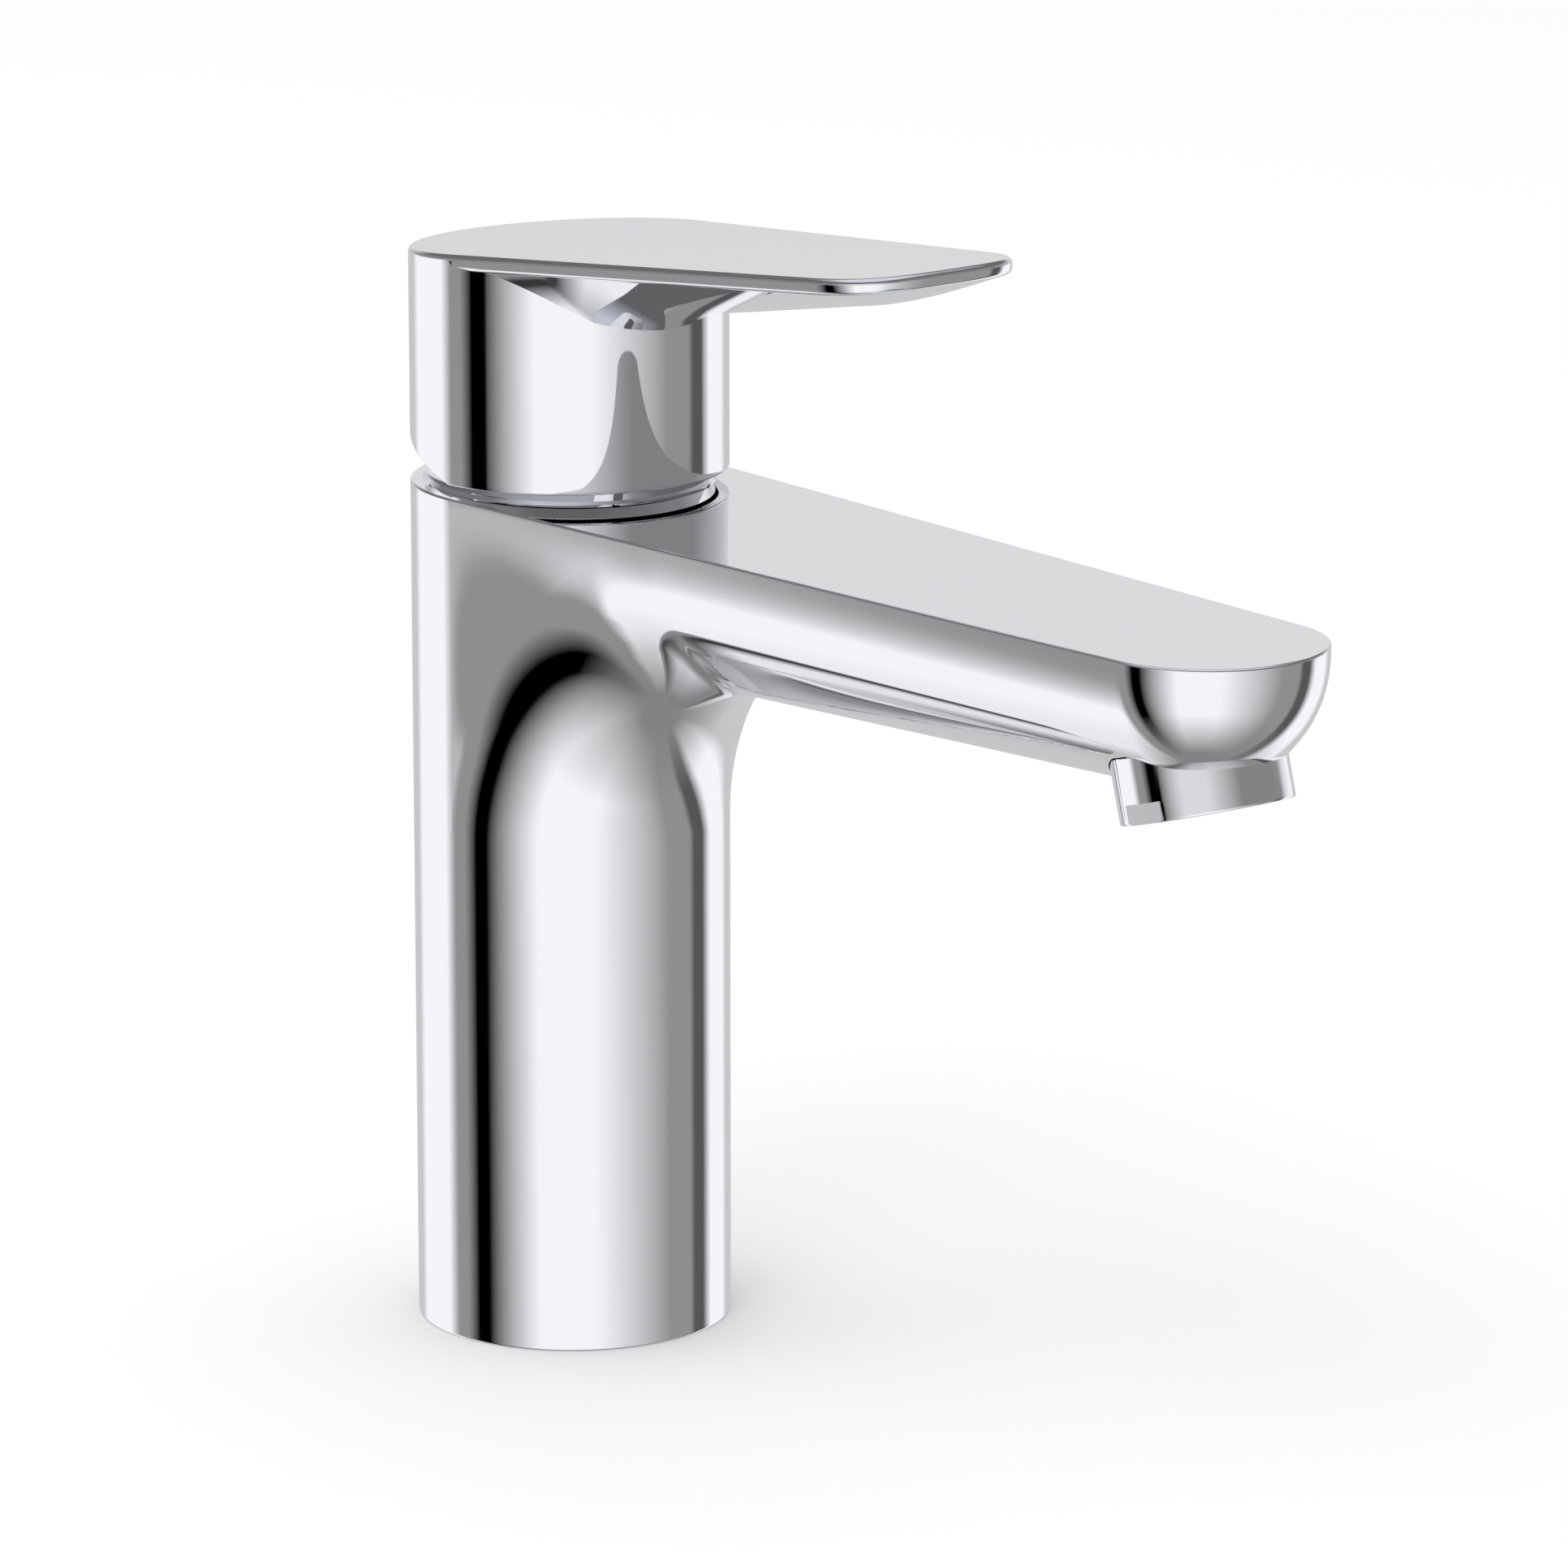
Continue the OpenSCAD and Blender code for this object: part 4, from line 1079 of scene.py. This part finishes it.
    def plug(self) -> bpy.types.Object:
        """The screw plug, whose outer face follows the skirt: x = -sqrt(r^2 - y^2)."""
        a = np.linspace(0, 2 * np.pi, 73)[:, None]
        ring = np.array([[0, 1.2, 2.4, self.plug_r - 0.15, self.plug_r - 0.03, self.plug_r]])
        y, z = ring * np.cos(a), self.screw_z + ring * np.sin(a)
        sunk = np.array([[0, 0, 0, 0, 0.03, 0.12]])
        outer = np.stack([-np.sqrt(self.body_r**2 - y**2) + sunk, y, z], -1)
        wall = np.stack([np.full_like(y[:, -1:], -19.6), y[:, -1:], z[:, -1:]], -1)
        middle = np.broadcast_to([-19.6, 0.0, self.screw_z], wall.shape)
        skin = placed_skin(np.concatenate([outer, wall, middle], 1))
        obj = finished(skin.mesh("plug_face"), "plug_face")
        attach(obj, "lever")
        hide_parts("screw_plug")
        return obj

    def build(self) -> bpy.types.Object:
        """Makes the lever's object, in place of its CAD node."""
        mesh = self.skin().mesh("lever_skin")
        obj = finished(mesh, "lever_skin", joined=self.boss(), cutters=self.cutters())
        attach(obj, "lever")
        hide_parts("lever_handle")
        return obj


# ---------------------------------------------------------- rings and trim


@dataclass
class OutletRing:
    """The outlet's screwed ring with its two spanner flats."""

    casting: Casting
    height: float = 9.1
    lip_r: float = 9.2
    lip_t: float = 1.2
    flat_h: float = 2.8
    flat_depth: float = 0.6

    def build(self) -> bpy.types.Object:
        """Makes the ring: a rounded profile carried round the axis, its sides held at the flats.

        Below the flats' height, y is held between -(r - depth) and (r - depth).

        Returns:
            The ring's object.
        """
        r, inner, step = self.casting.outlet_d / 2, self.casting.outlet_d / 2 - 1, self.flat_h
        corners = [(self.lip_r, 0, 0.25), (r, 0, 0.35), (r, step, 0), (r, step + 1e-3, 0)]
        corners += [(r, self.height, 0.2), (inner, self.height, 0), (inner, self.lip_t, 0)]
        corners += [(self.lip_r, self.lip_t, 0)]
        profile = rounded(corners)
        held = r - self.flat_depth
        flat = np.pi / 2 - math.acos(held / r)
        quarter = np.concatenate([np.linspace(0, flat, 40), np.linspace(flat, np.pi / 2, 10)[1:]])
        turn = np.concatenate([quarter, np.pi - quarter[::-1][1:]])
        turn = np.concatenate([turn, turn[1:] + np.pi])[:, None]
        pr, pz = profile[None, :, 0], profile[None, :, 1]
        x, y, z = pr * np.cos(turn), pr * np.sin(turn), pz + 0 * turn
        y = np.where(z <= step, np.clip(y, -held, held), y)
        skin = placed_skin(np.stack([x, y, z], -1), self.casting.outlet_place())
        obj = finished(skin.mesh("outlet_ring"), "outlet_ring")
        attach(obj, "faucet_body")
        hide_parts("aerator_shell")
        return obj


@dataclass
class TrimRing:
    """The ring between the casting's top and the lever's skirt."""

    foot_z: float = 124.0
    foot_r: float = 21.0
    foot_h: float = 2.2
    flare: float = 0.8
    wall_r: float = 18.8
    wall_t: float = 1.2
    bore_r: float = 14.1
    cap_t: float = 0.3
    top_z: float = 130.0

    def build(self) -> bpy.types.Object:
        """Makes the ring as a rounded profile turned round the axis.

        Returns:
            The ring's object.
        """
        foot, inner, under = self.foot_z + self.foot_h, self.wall_r - self.wall_t, self.top_z - self.cap_t
        corners = [(inner, self.foot_z, 0), (self.foot_r - self.flare, self.foot_z, 0)]
        corners += [(self.foot_r, foot, 0.1), (self.wall_r, foot, 0.3), (self.wall_r, self.top_z, 0.4)]
        corners += [(self.bore_r, self.top_z, 0.2), (self.bore_r, under, 0), (inner, under, 0)]
        profile = rounded(corners)
        obj = finished(revolve(profile, 128).mesh("trim_band"), "trim_band")
        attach(obj, "faucet_body")
        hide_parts("trim_ring")
        return obj


# ------------------------------------------------------------------ studio


# A plain studio as (from, to, tone), by the angle from the camera's side. A tone of 1 is white.
WALLS = (
    (-180, -150, 0.6),  # rear panel, left half
    (-140, -105, 1.0),  # white background at the rear left
    (-95, -85, 0.3),  # grey card at the left
    (-75, -65, 0.0),  # dark flag at the left
    (-25, 15, 1.0),  # white background in front
    (75, 95, 0.3),  # grey card at the right
    (100, 110, 0.1),  # dark flag at the right
    (120, 140, 1.0),  # white background at the rear right
    (150, 180, 0.6),  # rear panel, right half
)
# The low band over them: pale in front and behind, dark at both sides.
UPPER = ((-180, -170, 0.75), (-140, -70, 0.25), (-30, 0, 0.75), (45, 100, 0.25), (170, 180, 0.75))


@dataclass
class Studio:
    """The camera, the surroundings, the lamps and the floor."""

    eye: tuple[float, float, float] = (0.92693, -0.74368, 0.36567)
    forward: tuple[float, float, float] = (-0.74221, 0.62780, -0.23452)
    up: tuple[float, float, float] = (-0.17905, 0.15145, 0.97211)
    lens: float = 193.03
    ground: Color = (0.25, 0.25, 0.25)
    ceiling: Color = (0.15, 0.15, 0.15)
    zenith: Color = (0.7, 0.72, 0.8)
    cool: float = 1.02

    def camera(self) -> None:
        """Sets the camera at its place, looking along its forward direction."""
        data = bpy.data.cameras.new("camera")
        data.sensor_width, data.lens = 36.0, self.lens
        data.clip_start, data.clip_end = 0.05, 50
        cam = bpy.data.objects.new("camera", data)
        bpy.context.scene.collection.objects.link(cam)
        f, u = Vector(self.forward).normalized(), Vector(self.up).normalized()
        right = f.cross(u).normalized()
        u = right.cross(f)
        turn = Matrix((right, u, -f)).transposed().to_4x4()
        cam.matrix_world = Matrix.Translation(self.eye) @ turn
        bpy.context.scene.camera = cam

    def world(self) -> None:
        """Surroundings for reflections: plain soft panels all round; white to the eye.

        With B the panels' tone by angle and G the ground's tone, the lower half is
        G + (B - G) s(height), where s fades to nothing towards the ground.
        Above stand a low band of panels, a dark ceiling and a pale zenith.
        """
        world = bpy.data.worlds.new("studio")
        bpy.context.scene.world = world
        world.use_nodes = True
        n = Nodes(world.node_tree)
        n.tree.nodes.clear()
        x, y, z = n.split(n.add("ShaderNodeTexCoord").outputs["Generated"])
        flat = Vector((self.eye[0], self.eye[1], 0)).normalized()
        toward = n.math("ADD", n.math("MULTIPLY", x, flat.x), n.math("MULTIPLY", y, flat.y))
        aside = n.math("ADD", n.math("MULTIPLY", x, -flat.y), n.math("MULTIPLY", y, flat.x))
        angle = n.math("MULTIPLY_ADD", n.math("ARCTAN2", aside, toward), 0.5 / math.pi, 0.5)
        height = n.math("MULTIPLY_ADD", n.math("ARCSINE", z), 1 / math.pi, 0.5)
        edges = ((-80, -40), (-5, 5), (15, 25), (40, 60))
        fade, low, mid, top = (n.ramp(height, self.stops(HEIGHT, [(a, 0), (b, 1)])) for a, b in edges)
        lower = n.mix(fade, (*self.ground, 1), n.ramp(angle, self.panels(WALLS)))
        upper = n.mix(mid, n.ramp(angle, self.panels(UPPER)), (*self.ceiling, 1))
        color = n.mix(low, lower, n.mix(top, upper, (*self.zenith, 1)))
        seen, plain = n.add("ShaderNodeBackground"), n.add("ShaderNodeBackground")
        n.link(color, seen.inputs["Color"])
        plain.inputs["Color"].default_value = (1, 1, 1, 1)
        out = n.add("ShaderNodeOutputWorld")
        n.unless_glossy(plain, seen, out)

    @staticmethod
    def stops(scale: float, pairs: list[tuple[float, float]]) -> list[tuple[float, Color]]:
        """Ramp stops from angles in degrees and grey values."""
        return [(degrees / scale + 0.5, (value, value, value)) for degrees, value in pairs]

    def panels(self, tones: tuple[tuple[float, float, float], ...]) -> list[tuple[float, Color]]:
        """Two ramp stops for each panel; from one panel to the next the tone runs straight."""
        return [(e / ANGLE + 0.5, (v, v, v * self.cool)) for *edges, v in tones for e in edges]

    def lamps(self) -> None:
        """Two wide soft lamps, above left and above right, for the floor's shadow."""
        for name, spot, size, power in (
            ("key_lamp", (0.9, -1.5, 1.9), 1.4, 9.0),
            ("fill_lamp", (-1.0, -0.9, 1.6), 1.6, 4.0),
        ):
            data = bpy.data.lights.new(name, "AREA")
            data.shape, data.size, data.energy = "DISK", size, power
            lamp = bpy.data.objects.new(name, data)
            lamp.location = spot
            lamp.rotation_euler = (Vector((0.05, 0, 0.06)) - Vector(spot)).to_track_quat("-Z", "Y").to_euler()
            lamp.visible_glossy = False
            bpy.context.scene.collection.objects.link(lamp)

    def floor(self) -> None:
        """A wide pale floor: white to the eye, shaded by the object, clear to reflections."""
        rings = np.array([(0, 0), (0.3, 0), (1.0, 0), (3.0, 0), (9.0, 0)]) / MM
        obj = bpy.data.objects.new("floor", revolve(rings).mesh("floor"))
        bpy.context.scene.collection.objects.link(obj)
        mat = bpy.data.materials.new("pale_floor")
        mat.use_nodes = True
        n = Nodes(mat.node_tree)
        shader = mat.node_tree.nodes["Principled BSDF"]
        shader.inputs["Base Color"].default_value = (0.96, 0.96, 0.965, 1)
        shader.inputs["Roughness"].default_value = 0.75
        n.link(n.bump(n.noise(n.place(), 900), 0.00002, 1.0), shader.inputs["Normal"])
        n.unless_glossy(shader, n.add("ShaderNodeBsdfTransparent"), mat.node_tree.nodes["Material Output"])
        obj.data.materials.append(mat)

    def build(self) -> None:
        """Sets up the whole studio and the plain view transform."""
        self.camera()
        self.world()
        self.lamps()
        self.floor()
        bpy.context.scene.view_settings.view_transform = "Standard"


# -------------------------------------------------------------------- main


def dress(obj: bpy.types.Object, material: bpy.types.Material) -> None:
    """Gives an object one material for all its slots.

    Args:
        obj: the piece.
        material: its finish.
    """
    if not obj.data.materials:
        obj.data.materials.append(material)
    for slot in obj.material_slots:
        slot.material = material


def main() -> None:
    """Builds the studio, the materials and the pieces, and reports each one."""
    logging.basicConfig(level=logging.INFO, format="%(message)s")
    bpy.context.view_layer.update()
    Studio().build()
    groups = {
        Surface.POLISHED: polish_group(),
        Surface.MOULDED: grain_group(),
        Surface.TURNED: lathe_group(),
    }
    materials = {finish.name: finish.material(groups) for finish in FINISHES}
    for part in frame["record"]["subparts"]:
        dress(frame["nodes"][part["node"]], materials[part["material_slot"]])
        LOG.info("dressed %s in %s", part["node"], part["material_slot"])
    casting = Casting()
    lever = Lever()
    pieces = [casting.build(), lever.build(), lever.plug(), OutletRing(casting).build(), TrimRing().build()]
    for piece in pieces:
        dress(piece, materials["chrome"])
        LOG.info("made %s with %d faces", piece.name, len(piece.data.polygons))
    # second slot, on the hollows' roofs: rougher chrome whose darker colour is painted shade
    pieces[0].data.materials.append(UNBUFFED_SHADED_CHROME.material(groups))
    bpy.context.view_layer.update()
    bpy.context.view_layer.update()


if __name__ == "__main__":
    main()
